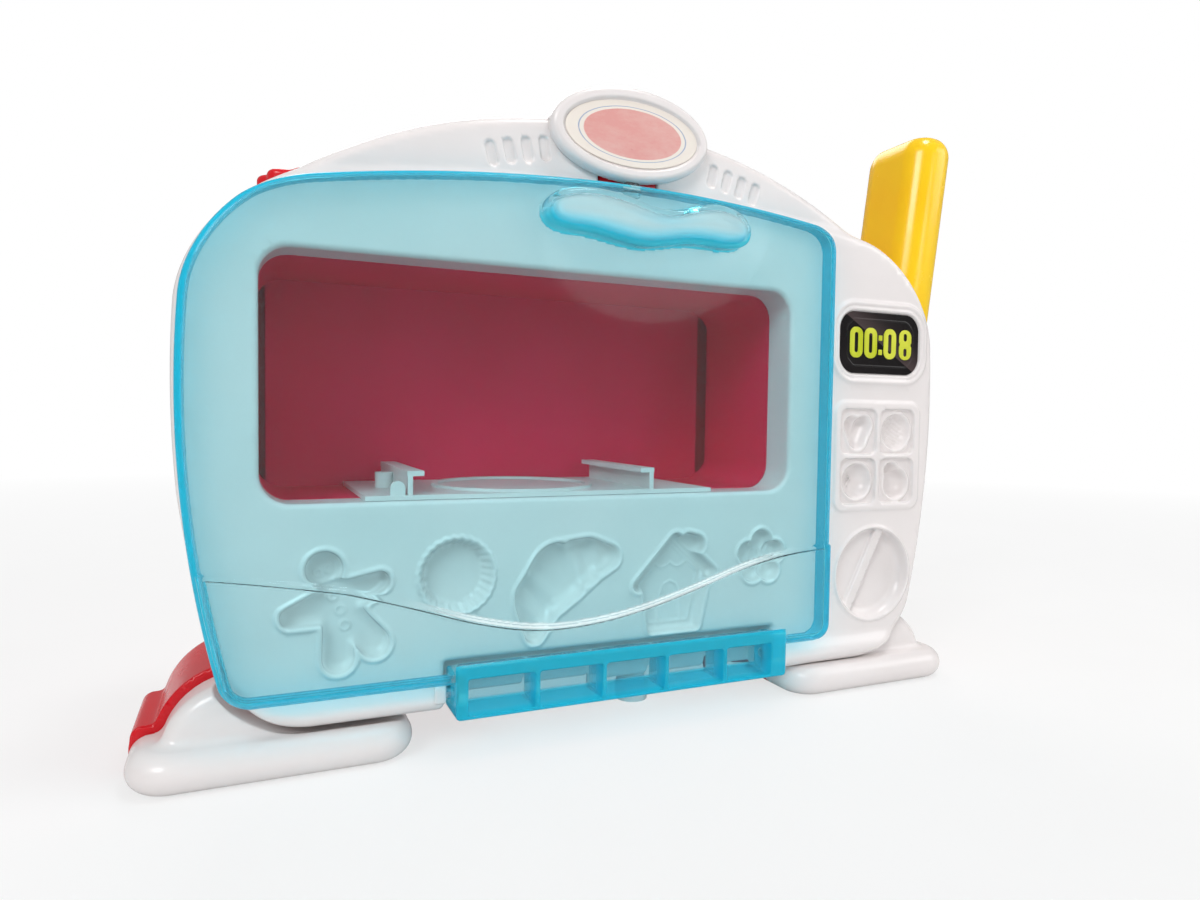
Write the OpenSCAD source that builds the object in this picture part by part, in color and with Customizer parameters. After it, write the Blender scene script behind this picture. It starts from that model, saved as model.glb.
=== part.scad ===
// Toy oven with a drop-down see-through door, a press lever and a lifting disc in its floor.
// Millimetres. +Z is up and the door faces -Y. The origin is under the middle of the whole toy.

/* [Body] */
// Greatest width of the body
body_w = 316; // [310:1:322]
// Height of the body's underside above the table
body_base = 13.5; // [12.5:0.5:14]
// Height of the body's own top, under the arch
body_top = 210.5; // [209:0.5:213]
// Rise of the arch above the body's top
arch_rise = 22; // [20:0.5:24]
// Wall of the moulded shells
shell_wall = 2.2; // [1.8:0.1:2.6]
// Depth of the white front shell
front_depth = 20; // [19:0.5:21]
// Depth of the whole body
body_depth = 78; // [76:1:84]
// Radius of the front edge of the body
edge_round = 4; // [3.5:0.5:5]

/* [Oven opening] */
// Width of the opening
opening_w = 208; // [200:1:210]
// Height of the opening
opening_h = 84; // [80:1:85]
// Height of the opening's lower edge
opening_z = 90.6; // [90:0.2:92]
// Corner radius of the opening
opening_round = 10; // [8:0.5:12]
// Depth of the white wall round the opening
reveal_depth = 16.5; // [15:0.5:17]
// Wall of the red oven chamber
liner_wall = 2; // [1.6:0.1:2.2]

/* [Door] */
// Width of the door
door_w = 249; // [246:1:250]
// Height of the door's lower edge
door_base = 28.5; // [28:0.5:30]
// Height of the door's top at its middle
door_top = 206.5; // [205:0.5:207.5]
// Depth of the door's rim
door_depth = 9.2; // [8:0.2:10]
// Wall of the door
door_wall = 2.2; // [1.8:0.1:2.6]
// How far the part below the wave stands out
wave_step = 1.8; // [1.2:0.1:2.2]
// Depth of the dip in the wave
wave_dip = 25; // [20:1:28]
// Length of the wavy handle
grip_w = 84; // [76:1:92]
// Height of the handle's bar
grip_h = 13; // [11:0.5:14]
// How far the handle stands out of the door
grip_out = 8.4; // [7:0.2:9]

/* [Hinge] */
// Length of the hinge rail under the door
rail_w = 138; // [132:1:142]
// Height of the hinge axis above the table
hinge_z = 22; // [21.5:0.5:22.5]
// Diameter of the hinge pins
rod_d = 4; // [3:0.5:4.5]
// Number of pockets in the rail
pocket_count = 5; // [3:1:6]
// Wall between two pockets
pocket_rib = 1.9; // [1.6:0.1:3]

/* [Moulds] */
// Depth of the baking moulds
mould_depth = 5.6; // [4.6:0.2:6.2]
// Width of the ridge round each mould
mould_lip = 1.1; // [0.8:0.1:1.4]
// Side of the block of four small moulds
block_side = 49; // [46:1:51]
// Diameter of the round dial mould
dish_d = 41; // [37:1:42]
// Width of the timer window
window_w = 46; // [42:1:47]
// Height of the timer window
window_h = 28; // [24:1:30]

/* [Lift] */
// Diameter of the lifting disc
disc_d = 60; // [54:1:61]
// How far the disc rises
lift_travel = 20; // [16:1:20]
// Diameter of the disc's stem
stem_d = 10; // [9:0.5:11]
// Distance between the pan rails
pan_gap = 94; // [90:1:98]
// Height of the pan rails
pan_rail_h = 8.4; // [7.6:0.2:9]

/* [Lever] */
// Length of the lever's inner arm, from pivot to nose
nose_arm = 89; // [86:1:92]
// Height of the lever's pivot
pivot_z = 45; // [44:0.5:46]
// Thickness of the lever's arm
arm_t = 8; // [7:0.5:9]
// Diameter of the lever's pivot pin
pin_d = 5; // [4:0.5:6]
// Height of the top of the lever's grip
lever_top = 266; // [258:1:272]
// Lean of the lever's grip, in degrees
lever_lean = 7.7; // [6.5:0.1:8.5]
// Width of the grip, left to right
lever_w = 26; // [24:1:27]
// Depth of the grip, front to back
lever_deep = 36; // [32:1:37]

/* [Feet] */
// Distance from the middle to the outer end of each foot
foot_reach = 171; // [168:1:174]
// Length of each foot
foot_len = 88; // [84:1:92]
// Depth of the feet behind the body's face
foot_back = 67; // [62:1:70]
// Radius of the feet's corners, seen from above
foot_corner = 14; // [10:0.5:16]

/* [Dial] */
// Diameter of the lobed dial over its lobes
dial_d = 42; // [38:1:43]
// Height of the lobed dial
dial_h = 13.5; // [12:0.5:15]
// Number of lobes
dial_lobes = 10; // [8:1:12]

/* [Plaque] */
// Width of the oval plaque
plaque_w = 66; // [60:1:70]
// Height of the oval plaque
plaque_h = 35; // [32:1:36]

/* [Batteries] */
// Diameter of a battery cell
cell_d = 10.5; // [10:0.1:10.6]
// Length of a battery cell
cell_len = 44.5; // [43:0.5:45]
// Number of cells
cell_count = 3; // [2:1:3]

/* [Hidden] */
$fn = 48;

white = [0.9, 0.88, 0.88];
red = [0.83, 0.1, 0.13];
blue = [0.35, 0.78, 0.87, 0.6];
yellow = [0.98, 0.78, 0.06];
steel = [0.72, 0.73, 0.75];
green = [0.12, 0.42, 0.24];
dark = [0.08, 0.07, 0.08];

gap = 0.15;             // between fixed pieces that seat on each other
run = 0.06;             // radial clearance of a turning or sliding fit
free = 1;               // round a moving piece that touches nothing
over = 1;               // by which a cut passes a face
sunk = 0.04;            // by which a side lies inside the circles that it joins
screw_d = 3;            // all the small screws
head_d = 5.6;
head_h = 2.2;
post_r = 3.4;           // posts that take a screw
post_seat = 32;         // where the shell screws' heads seat

half_w = body_w / 2;
side_r = 413;           // radius of the body's sides
side_mid = 130;         // height of the widest point
top_r = 740;            // radius of the body's top
flat_r = 40000;         // radius that stands for a straight edge
upper_corner = 38;
lower_corner = 25;
front_taper = 4;        // inset of the outline at the back of the front shell
rear_step = 8;          // inset of the rear shell where it meets the front shell
rear_side = 15.5;       // inset where the rear shell's back edge starts to round
rear_round = 8;         // radius of that back edge
base_share = 0.3;       // share of an inset that the underside follows
arch_top = body_top + arch_rise;
arch_half = 110;        // half of the arch's span
arch_foot = arch_top - 30;
arch_r = (pow(arch_top - arch_foot, 2) + pow(arch_half, 2)) / (2 * (arch_top - arch_foot));
arch_cz = arch_top - arch_r;
arch_face = 1.4;        // how far the arch's face stands behind the body's face
split = front_depth + gap;

opening_x = -half_w + 26.8 + opening_w / 2;
opening_mid = opening_z + opening_h / 2;
liner_front = reveal_depth + gap;
liner_back = body_depth - shell_wall - 2;
liner_in = liner_back - liner_wall;

panel_x = half_w - 32;
window_z = 155.5;
block_z = 104.8;
dish_z = 51.3;
dish_r = dish_d / 2;
block_cell = 20;
block_pitch = 22.2;

door_back = -gap;
door_front = -door_depth - gap;
door_left = -half_w + 3;
door_right = door_left + door_w;
rim_round = 3;
wave_front = door_front - wave_step;
wave_mid = -16;         // where the wave dips
wave_top = 70;
wave_half = 110;        // half of the dip's span
grip_front = door_front - grip_out;
grip_z = 191.5;
hinge_y = -1;
rail_front = door_front - 3.3;
rail_base = hinge_z - 7;
rail_top = hinge_z + 12;
rail_back = hinge_y + 6;
barrel_r = rod_d / 2 + 1.8;
rail_space = rail_w / 2 + 1.5;
hinge_clear = 15.5;     // radius that the rail sweeps
pocket_pitch = (rail_w - 6.5) / pocket_count;
pocket_z = [rail_base + 1.4, rail_top - 4.7];
pocket_back = rail_back - 1.5;
pin_wall = 4.2;         // end wall of the rail, which takes the pin
pin_in = 3;             // how far a pin goes into the rail
end_wall = 7.5;         // the right end wall is thicker
latch_z = 210.6;
latch_half = 12.6;

lift_x = -34;
lift_y = 38;
plate_x = opening_x - 1.5;
plate_w = 138;
plate_y = [3, liner_in - 1];
floor_z = opening_z + gap;
plate_t = 1.6;
plate_top = floor_z + plate_t;
disc_t = 3;
disc_free = 0.4;
disc_under = plate_top - disc_t;
guide_top = opening_z - liner_wall - gap;
guide_t = 4.4;
guide_under = guide_top - guide_t;
bush_r = stem_d / 2 + 3.8;
bush_end = guide_under - 7;
guide_reach = 52;
rail_t = 1.8;

lever_y = 40;
pivot_x = 60;
nose_drop = 5.5;        // degrees by which the nose arm points down at rest
nose_r = 6;
nose_limb_r = 4.5;
limb_r = 5;
hub_r = 9;
pivot = [pivot_x, pivot_z];
nose = pivot - nose_arm * [cos(nose_drop), sin(nose_drop)];
elbow = [163, 120];
grip_foot_z = 100;
grip_mid = [176.5, 215]; // a point on the grip's middle line
lean = [sin(lever_lean), cos(lever_lean)];
tongue = elbow + 45 * lean;
grip_bore = [elbow + 14 * lean, elbow + 38 * lean];
grip_base = grip_mid + (grip_foot_z - grip_mid[1]) / lean[1] * lean;
grip_len = (lever_top - grip_foot_z) / lean[1];
grip_wall = 2.2;
grip_corner = [13, 11];   // radii of the top's left and right corners
arm_y = [lever_y - arm_t / 2, lever_y + arm_t / 2];
foot_face = nose[1] + nose_r + 0.3;
foot_flange = 3.2;
collar_h = 8;
spring_r = bush_r - 0.6;
spring_wire = 1.2;
spring_turns = 6;
spring_z = [foot_face + foot_flange + gap, bush_end - gap];
spring_rings = 8;       // rings of points to a turn
spring_path = let (n = spring_turns * spring_rings, low = spring_z[0] + spring_wire / 2,
        rise = spring_z[1] - spring_z[0] - spring_wire)
    [for (i = [0 : n]) let (a = 360 * i / spring_rings)
        [spring_r * cos(a), spring_r * sin(a), low + rise * i / n]];
spring_space = min([for (i = [0 : len(spring_path) - 1])
    for (j = [i + 4 : 1 : min(i + 12, len(spring_path) - 1)]) norm(spring_path[j] - spring_path[i])]) - spring_wire;

foot_h = body_base - gap;
foot_r = foot_h / 2;
foot_front = -3;
mound_mid = [138, 8];
mound_r = 26;
mound_face = 4;

dial_at = [-110, 43];
dial_seat = 195;
dial_boss = dial_seat - 9;
seat_r = dial_d / 2 - 3.3;
dial_shaft = 4.5;
washer_t = 1.2;

plaque_z = arch_top - 4.5;
plaque_front = -3.6;
plaque_back = 10;
label_t = 0.5;

battery_wall = 1.5;
battery_pitch = cell_d + 1;
battery_x = -82;
battery_z = 62;
battery_in = [cell_len + 3, battery_pitch * cell_count + 0.5];
battery_front = body_depth - shell_wall - cell_d - 4;
battery_rim = body_depth - shell_wall - gap;
hatch = [battery_in[0] + 20, battery_in[1] + 6];
hatch_screw = [battery_x + battery_in[0] / 2 + 5.6, battery_z];
hatch_sink = head_h + 0.3;
board_x = panel_x;
board_y = 12;
board_size = [40, 30];
speaker_at = [112, 68];
speaker_r = 14;
switch_x = 103;
switch_z = pivot_z + (switch_x + 1.2 - pivot_x) * (elbow[1] - pivot_z) / (elbow[0] - pivot_x)
    + limb_r / cos(bearing(pivot, elbow)) + 0.3;

shell_posts = [[-60, 184], [10, 184], [131, 134], [-124, 44], [104, 38]];
liner_posts = [for (sx = [-75, 75], z = [opening_z - 7.6, opening_z + opening_h + 7.6]) [opening_x + sx, z]];
foot_bolt_x = 104;
foot_bolt_y = [12, 45];
middle_foot_at = [17.2, 26.8];
middle_foot_r = 6.7;
rear_bolts = concat([for (s = [-1, 1]) [s * foot_bolt_x, foot_bolt_y[1]]], [middle_foot_at]);
pin_back = body_depth - 14; // where the lever's pin ends
grip_seat = 12;         // where the grip screws' heads seat, behind the grip's middle

// The outermost points of the lever and of the feet put the middle of the toy
lever_reach = grip_base[0] + (lever_w / 2 - grip_corner[1]) * lean[1]
    + (grip_len - grip_corner[1]) * lean[0] + grip_corner[1];
origin_x = (lever_reach - foot_reach) / 2;
origin_y = (grip_front + body_depth) / 2;
module placed() translate([-origin_x, -origin_y, 0]) children();

// Plane geometry, in x and z
function bearing(c, p) = atan2(p[1] - c[1], p[0] - c[0]);
function onward(a, b) = b - 360 * floor((b - a) / 360);
function arc(c, r, a0, a1, n) =
    [for (i = [0 : n - 1]) let (a = a0 + (a1 - a0) * i / n) c + r * [cos(a), sin(a)]];
// Centre of a circle at distance ra from a and rb from b, on the left of the way from a to b
function meet(a, ra, b, rb) =
    let (v = b - a, l = norm(v), u = v / l, t = (l * l + ra * ra - rb * rb) / (2 * l))
    a + u * t + [-u[1], u[0]] * sqrt(ra * ra - t * t);
// A closed outline of bulging sides with rounded corners, moved inward by d.
// A side is [centre, radius, radius of the corner to the next side, steps along it, steps round it].
function outline(sides, d = 0) =
    let (n = len(sides),
        hub = [for (i = [0 : n - 1]) let (s = sides[i], t = sides[(i + 1) % n])
            meet(s[0], s[1] - s[2], t[0], t[1] - s[2])])
    [for (i = [0 : n - 1]) let (
            s = sides[i], t = sides[(i + 1) % n],
            from = bearing(s[0], hub[(i + n - 1) % n]), to = onward(from, bearing(s[0], hub[i])),
            end = onward(to, bearing(t[0], hub[i])))
        each concat(arc(s[0], s[1] - d, from, to, s[3]), arc(hub[i], s[2] - d, to, end, s[4]))];

// The body's outline. The underside follows only a share of the inset.
function body_line(inset) = outline([
    [[half_w - side_r, side_mid], side_r, upper_corner, 8, 6],
    [[0, body_top - top_r], top_r, upper_corner, 10, 6],
    [[side_r - half_w, side_mid], side_r, lower_corner, 8, 5],
    [[0, body_base - (1 - base_share) * max(inset, 0) + flat_r], flat_r, lower_corner, 1, 5]], inset);
function door_line(inset) = outline([
    [[door_right - flat_r, side_mid], flat_r, 12, 1, 4],
    [[0, door_top - 632], 632, 34, 8, 6],
    [[door_left + 380, side_mid - 3], 380, 9, 7, 4],
    [[0, door_base + flat_r], flat_r, 7, 1, 4]], inset);
function ellipse(w, h, inset, n) =
    [for (i = [0 : n - 1]) [(w / 2 - inset) * cos(360 * i / n), (h / 2 - inset) * sin(360 * i / n)]];

// Rings as [y, inset] round the front and the back edge of a wall at depth d inside the face
function front_rings(d, end) = let (r = max(edge_round - d, 0.6)) concat(
    [for (a = [0 : 30 : 90]) [d + r * (1 - cos(a)), d + r * (1 - sin(a))]],
    [[end, d + front_taper * (end - edge_round) / (front_depth - edge_round)]]);
function rear_rings(d, start) = let (r = rear_round - d) concat(
    [[start, d + rear_step + (rear_side - rear_step) * (start - split) / (body_depth - rear_round - split)]],
    [for (a = [0 : 30 : 90]) [body_depth - rear_round + r * sin(a), rear_side + rear_round - r * cos(a)]]);

function span(middle, half) = [middle - half, middle + half];

// A flat shape from y0 to y1
module slab(y0, y1) translate([0, y1, 0]) rotate([90, 0, 0]) linear_extrude(y1 - y0) children();
module bar_y(p, r, y0, y1) translate([p[0], y1, p[1]]) rotate([90, 0, 0]) cylinder(r = r, h = y1 - y0);
module bar_x(y, z, r, x0, x1) translate([x0, y, z]) rotate([0, 90, 0]) cylinder(r = r, h = x1 - x0);
module block(x, y, z) translate([x[0], y[0], z[0]]) cube([x[1] - x[0], y[1] - y[0], z[1] - z[0]]);
// A straight limb with round ends, whose sides lie a hair inside the ends' circles
module limb(p, q, r) {
    translate(p) rotate(bearing(p, q)) translate([0, sunk - r]) square([norm(q - p), 2 * (r - sunk)]);
    translate(p) circle(r);
    translate(q) circle(r);
}
// A rectangle with round corners, centred
module pad(w, h, r) {
    square([w - 2 * r, h], center = true);
    square([w, h - 2 * r], center = true);
    for (sx = [-1, 1], sz = [-1, 1]) translate([sx * (w / 2 - r), sz * (h / 2 - r)]) circle(r);
}
// A solid through outlines with equal numbers of points, each given as [y, points]
module loft(rings) {
    n = len(rings[0][1]);
    m = len(rings);
    polyhedron(
        points = [for (s = rings) for (p = s[1]) [p[0], s[0], p[1]]],
        faces = concat(
            [[for (i = [n - 1 : -1 : 0]) i], [for (i = [0 : n - 1]) (m - 1) * n + i]],
            [for (k = [0 : m - 2]) for (i = [0 : n - 1]) let (j = (i + 1) % n)
                [k * n + i, k * n + j, (k + 1) * n + j, (k + 1) * n + i]]),
        convexity = 6);
}
module body_loft(rings) loft([for (s = rings) [s[0], body_line(s[1])]]);
// The arch over the body, as a disc of which only the crown shows
module arch_loft(rings, shift = 0) intersection() {
    translate([0, 0, arch_cz]) rotate([-90, 0, 0]) rotate_extrude($fn = 180) polygon(concat(
        [[0, rings[0][0] + shift]], [for (s = rings) [arch_r - s[1], s[0] + shift]],
        [[0, rings[len(rings) - 1][0] + shift]]));
    block([-half_w, half_w], [-over, body_depth + over], [arch_foot - 12, arch_top + over]);
}
module front_form(d, end) {
    body_loft(front_rings(d, end));
    arch_loft(front_rings(d, end - (d > 0 ? 0 : arch_face)), arch_face);
}
module rear_form(d, start) {
    body_loft(rear_rings(d, start));
    arch_loft(rear_rings(d, start));
}
// A screw whose head faces away from the way it goes in
module screw(length) {
    cylinder(d = screw_d, h = length);
    translate([0, 0, -head_h]) cylinder(d = head_d, h = head_h);
}
module screw_in(p, y, length) translate([p[0], y, p[1]]) rotate([90, 0, 0]) screw(length);

// Two circles and what lies between them, whose straight sides lie a hair inside the circles
module taper(p, r, q, t) {
    turn = bearing(p, q);
    lean = acos((r - t) / norm(q - p));
    up = [cos(turn + lean), sin(turn + lean)];
    down = [cos(turn - lean), sin(turn - lean)];
    polygon([p + (r - sunk) * up, p + (r - sunk) * down, q + (t - sunk) * down, q + (t - sunk) * up]);
    translate(p) circle(r);
    translate(q) circle(t);
}
// Outlines of the baking moulds, grown by d
module figure_mould(d) translate([-106, 54.3]) rotate(20) {
    translate([0, 15]) circle(6.2 + d);
    taper([0, 5], 6.4 + d, [0, -6], 7.4 + d);
    for (s = [-1, 1]) {
        taper([s * 4, 3], 6 + d, [s * 15.3, 4.1], 3.5 + d);
        taper([s * 3, -6], 5 + d, [s * 6.3, -15.3], 5.4 + d);
    }
}
module tart_mould(d) translate([-66.1, 63.3]) circle(13 + d);
module croissant_mould(d) {
    taper([-7.2, 66.8], 4.8 + d, [-15.7, 66.2], 8.6 + d);
    taper([-15.7, 66.2], 8.6 + d, [-26.7, 61.6], 12 + d);
    taper([-26.7, 61.6], 12 + d, [-35, 52.9], 9.6 + d);
    taper([-35, 52.9], 9.6 + d, [-36.9, 39.6], 3.7 + d);
}
module house_mould(d) {
    taper([22.9, 71.6], 3 + d, [6.4, 54.4], 2.4 + d);
    taper([22.9, 71.6], 3 + d, [38.8, 58], 2.6 + d);
    taper([28.4, 71.4], 3.2 + d, [32, 69.6], 4 + d);
    taper([12.6, 37], 2 + d, [10, 54], 2 + d);
    taper([31.9, 37], 2 + d, [36.4, 58], 2 + d);
    taper([12.6, 37], 2 + d, [31.9, 37], 2 + d);
    polygon([[12.6, 37], [31.9, 37], [36.4, 58], [22.9, 71.6], [7.4, 54.4]]);
}
module flower_mould(d) translate([63.6, 62.6]) {
    circle(5 + d);
    for (a = [18 : 72 : 306]) rotate(a) translate([6.9, 0]) circle(4.7 + d);
}
module baking_moulds(d) {
    figure_mould(d);
    tart_mould(d);
    croissant_mould(d);
    house_mould(d);
    flower_mould(d);
}
// The four small moulds of the square block: heart, berry, apple and cherry
module heart(d) for (s = [-1, 1]) limb([s * 3.3, 2.4], [0, -3], 3.9 + d);
module cherry(d) {
    translate([0.6, -1.6]) circle(6.4 + d);
    translate([-2.6, 4.2]) circle(3.2 + d);
}
module fruit(i, d) {
    if (i == 0) heart(d);
    if (i == 1) circle(7.6 + d);
    if (i == 2) circle(7.2 + d);
    if (i == 3) cherry(d);
}
module each_fruit() for (i = [0 : 3])
    translate([panel_x + (i % 2 - 0.5) * block_pitch, block_z + (0.5 - floor(i / 2)) * block_pitch]) {
        $fruit = i;
        children();
    }
module vent_row() for (s = [-1, 1], i = [0 : 3])
    rotate(-s * (37 + 7.2 * i) / arch_r * 57.3) translate([0, arch_r - 10.5]) pad(3.4, 8.6, 1.6);

module front_shell() color(white) placed() difference() {
    union() {
        difference() {
            front_form(0, front_depth);
            front_form(shell_wall, front_depth + over);
        }
        slab(shell_wall / 2, reveal_depth) translate([opening_x, opening_mid])
            pad(opening_w + 2 * shell_wall, opening_h + 2 * shell_wall, opening_round + shell_wall);
        slab(shell_wall / 2, mould_depth + shell_wall) baking_moulds(shell_wall);
        slab(-0.5, shell_wall / 2) baking_moulds(mould_lip);
        slab(-0.8, mould_depth + shell_wall) translate([panel_x, block_z]) pad(block_side, block_side, 5.6);
        bar_y([panel_x - 1, dish_z], dish_r + 1.6, -0.7, mould_depth + shell_wall + 1);
        slab(-1, 4) translate([panel_x, window_z]) pad(window_w + 6, window_h + 6, 10);
        block([-rail_space - shell_wall, rail_space + shell_wall], [shell_wall / 2, hinge_clear + shell_wall],
            [body_base + 1, hinge_z + hinge_clear + shell_wall]);
        for (p = concat(shell_posts, liner_posts)) bar_y(p, post_r, shell_wall / 2, reveal_depth);
        for (p = shell_posts) bar_y(p, post_r, shell_wall / 2, front_depth);
        for (x = [-1, 1] * (rail_space + 2)) {
            bar_x(hinge_y, hinge_z, barrel_r, x - 2, x + 2);
            block([x - 2, x + 2], [hinge_y, shell_wall], [hinge_z - barrel_r, hinge_z + barrel_r]);
        }
        for (s = [-1, 1]) translate([s * foot_bolt_x, foot_bolt_y[0], body_base + 1]) cylinder(r = 3.6, h = 11);
        for (x = [-1, 1] * 16, z = [-1, 1] * 11)
            bar_y([board_x + x, window_z + z], 2.4, shell_wall / 2, board_y - gap);
        for (x = [-1, 1] * 13) bar_y([x, latch_z + 6.6], 1.4, arch_face + 1, arch_face + 8);
    }
    slab(-over, front_depth) translate([opening_x, opening_mid]) pad(opening_w, opening_h, opening_round);
    slab(-over, mould_depth) baking_moulds(0);
    slab(-over, 1) each_fruit() pad(block_cell, block_cell, 3.4);
    slab(0, mould_depth + 1) each_fruit() fruit($fruit, 0);
    difference() {
        bar_y([panel_x - 1, dish_z], dish_r, -over, mould_depth + 0.8);
        slab(1.2, mould_depth + shell_wall) translate([panel_x - 1, dish_z]) rotate(-36) pad(6, 1.7 * dish_r, 1);
    }
    slab(-over - 0.5, 0.4) translate([panel_x, window_z]) pad(window_w, window_h, 8.4);
    translate([lift_x, lift_y, 0]) cylinder(r = disc_d / 2 + disc_free, h = opening_mid);
    block([-rail_space, rail_space], [-over - 4, hinge_clear], [0, hinge_z + hinge_clear]);
    bar_x(hinge_y, hinge_z, rod_d / 2 + run, -rail_space - 3, rail_space + 3);
    block([-latch_half, latch_half], [-over, arch_face + 5], [latch_z - 2.6, latch_z + 2.6]);
    slab(0, arch_face + 1.1) translate([0, arch_cz]) vent_row();
    for (p = shell_posts) bar_y(p, screw_d / 2 + run, 8, front_depth + over);
    for (p = liner_posts) bar_y(p, screw_d / 2 + run, 5, reveal_depth + over);
    for (s = [-1, 1]) translate([s * foot_bolt_x, foot_bolt_y[0], 0]) cylinder(d = screw_d + 2 * run, h = 24);
}

module dial_round(r, z0, z1) translate([dial_at[0], dial_at[1], z0]) cylinder(r = r, h = z1 - z0);

module rear_shell() color(red) placed() difference() {
    union() {
        difference() {
            union() {
                difference() {
                    rear_form(0, split);
                    rear_form(shell_wall, split - over);
                }
                intersection() {
                    arch_loft(rear_rings(0, split));
                    dial_round(dial_d / 2 + free + shell_wall, dial_boss, arch_top);
                }
            }
            dial_round(dial_d / 2 + free, dial_seat - 0.5, arch_top + over);
        }
        dial_round(seat_r, dial_boss, dial_seat);
        for (p = shell_posts) bar_y(p, 4.4, split, body_depth - 1);
        bar_y(pivot, pin_d / 2 + 3, arm_y[1] + gap, body_depth - 1);
        bar_y(speaker_at, speaker_r + 1.6, body_depth - 6, body_depth - 1);
        for (p = rear_bolts) translate([p[0], p[1], body_base + 4]) cylinder(r = 3.6, h = 12);
        bar_y([switch_x - 5.5, switch_z + 7.3], 3, lever_y + 4, body_depth - 1);
    }
    for (p = shell_posts) {
        bar_y(p, head_d / 2 + 0.3, post_seat, body_depth + over);
        bar_y(p, screw_d / 2 + 0.2, split - over, post_seat + over);
    }
    bar_y(pivot, pin_d / 2 + run, arm_y[1] - over, pin_back + 2);
    bar_y(speaker_at, speaker_r + gap, body_depth - 8, body_depth - shell_wall);
    for (a = [0 : 60 : 300], k = [0, 1]) bar_y(
        speaker_at + 8 * k * [cos(a), sin(a)], 1.4, body_depth - 6, body_depth + over);
    dial_round(dial_shaft + run, dial_boss - over, arch_top);
    slab(body_depth - shell_wall - over, body_depth + over) hatch_pad(gap);
    block([half_w - 20, half_w + 20], span(lever_y, arm_t / 2 + free), [66, 123]);
    for (p = rear_bolts) translate([p[0], p[1], 0]) cylinder(d = screw_d + 2 * run, h = 28);
}

// The chamber: its plan has round corners at the back
module oven_liner() color(red) placed() difference() {
    union() {
        difference() {
            intersection() {
                slab(liner_front, liner_back) translate([opening_x, opening_mid])
                    pad(opening_w + 2 * liner_wall, opening_h + 2 * liner_wall, opening_round + liner_wall);
                chamber_plan(liner_wall);
            }
            intersection() {
                slab(liner_front - over, liner_in) translate([opening_x, opening_mid])
                    pad(opening_w, opening_h, opening_round);
                chamber_plan(0);
            }
        }
        slab(liner_front, liner_front + 2.4) for (p = liner_posts)
            limb(p, [p[0], p[1] + (p[1] > opening_mid ? -6 : 6)], post_r + 0.6);
    }
    slab(liner_front - over, liner_in) translate([opening_x, opening_mid])
        pad(opening_w, opening_h, opening_round);
    for (p = liner_posts) bar_y(p, screw_d / 2 + run, liner_front - over, liner_front + 4);
    translate([lift_x, lift_y, 0]) cylinder(r = disc_d / 2 + disc_free, h = floor_z);
    for (s = [-1, 1]) translate([lift_x + s * guide_reach, lift_y, 0])
        cylinder(d = screw_d + 2 * run, h = floor_z);
}
module chamber_plan(d) translate([opening_x, liner_in / 2, 0]) linear_extrude(arch_top)
    pad(opening_w + 2 * d + 0.02, liner_in + 2 * d, opening_round + d);

module floor_plate() color(white) placed() difference() {
    union() {
        block(span(plate_x, plate_w / 2), plate_y, [floor_z, plate_top]);
        translate([lift_x, lift_y, floor_z]) cylinder(r = disc_d / 2 + disc_free + 2.6, h = plate_t + 1);
        for (s = [-1, 1]) {
            block(span(lift_x + s * (pan_gap / 2 + rail_t / 2), rail_t / 2), plate_y + [2, -4],
                [floor_z, plate_top + pan_rail_h]);
            block(span(lift_x + s * (pan_gap / 2 - 1), 3), plate_y + [2, -4],
                span(plate_top + pan_rail_h - rail_t / 2, rail_t / 2));
            translate([lift_x + s * guide_reach, lift_y, floor_z]) cylinder(r = 3.4, h = plate_t + 6);
        }
        slab(plate_y[0] + 1, plate_y[0] + 3.4) limb([lift_x - pan_gap / 2 - 5.4, floor_z + 1],
            [lift_x - pan_gap / 2 - 5.4, floor_z + 4], 2.6);
    }
    block([-half_w, half_w], plate_y, [0, floor_z]);
    translate([lift_x, lift_y, 0]) cylinder(r = disc_d / 2 + disc_free, h = arch_top);
    for (s = [-1, 1]) translate([lift_x + s * guide_reach, lift_y, 0])
        cylinder(d = screw_d + 2 * run, h = plate_top + 4);
}

module lift_disc() color(white) placed() translate([lift_x, lift_y, 0]) {
    translate([0, 0, disc_under]) cylinder(d = disc_d, h = disc_t);
    translate([0, 0, foot_face + 2]) cylinder(d = stem_d, h = disc_under - foot_face - 1);
}
module plunger_foot() color(red) placed() translate([lift_x, lift_y, foot_face]) difference() {
    union() {
        cylinder(r = 12, h = foot_flange);
        cylinder(d = stem_d + 3, h = collar_h);
    }
    translate([0, 0, 2 - gap]) cylinder(d = stem_d + 2 * run, h = collar_h);
}
// A round wire wound as a helix, in rings of 6 sides
module return_spring() color(steel) placed() translate([lift_x, lift_y, 0]) {
    n = len(spring_path) - 1;
    rings = [for (i = [0 : n]) let (a = 360 * i / spring_rings, p = spring_path[i])
        for (b = [0 : 60 : 300]) p + spring_wire / 2 * [cos(b) * cos(a), cos(b) * sin(a), sin(b)]];
    polyhedron(rings, concat(
        [[5, 4, 3, 2, 1, 0], [for (k = [0 : 5]) n * 6 + k]],
        [for (i = [0 : n - 1], k = [0 : 5]) let (a = i * 6 + k, b = i * 6 + (k + 1) % 6)
            each [[a, b, b + 6], [a, b + 6, a + 6]]]));
    echo(str("Least gap between the spring's turns: ", spring_space, " mm"));
}
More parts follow.
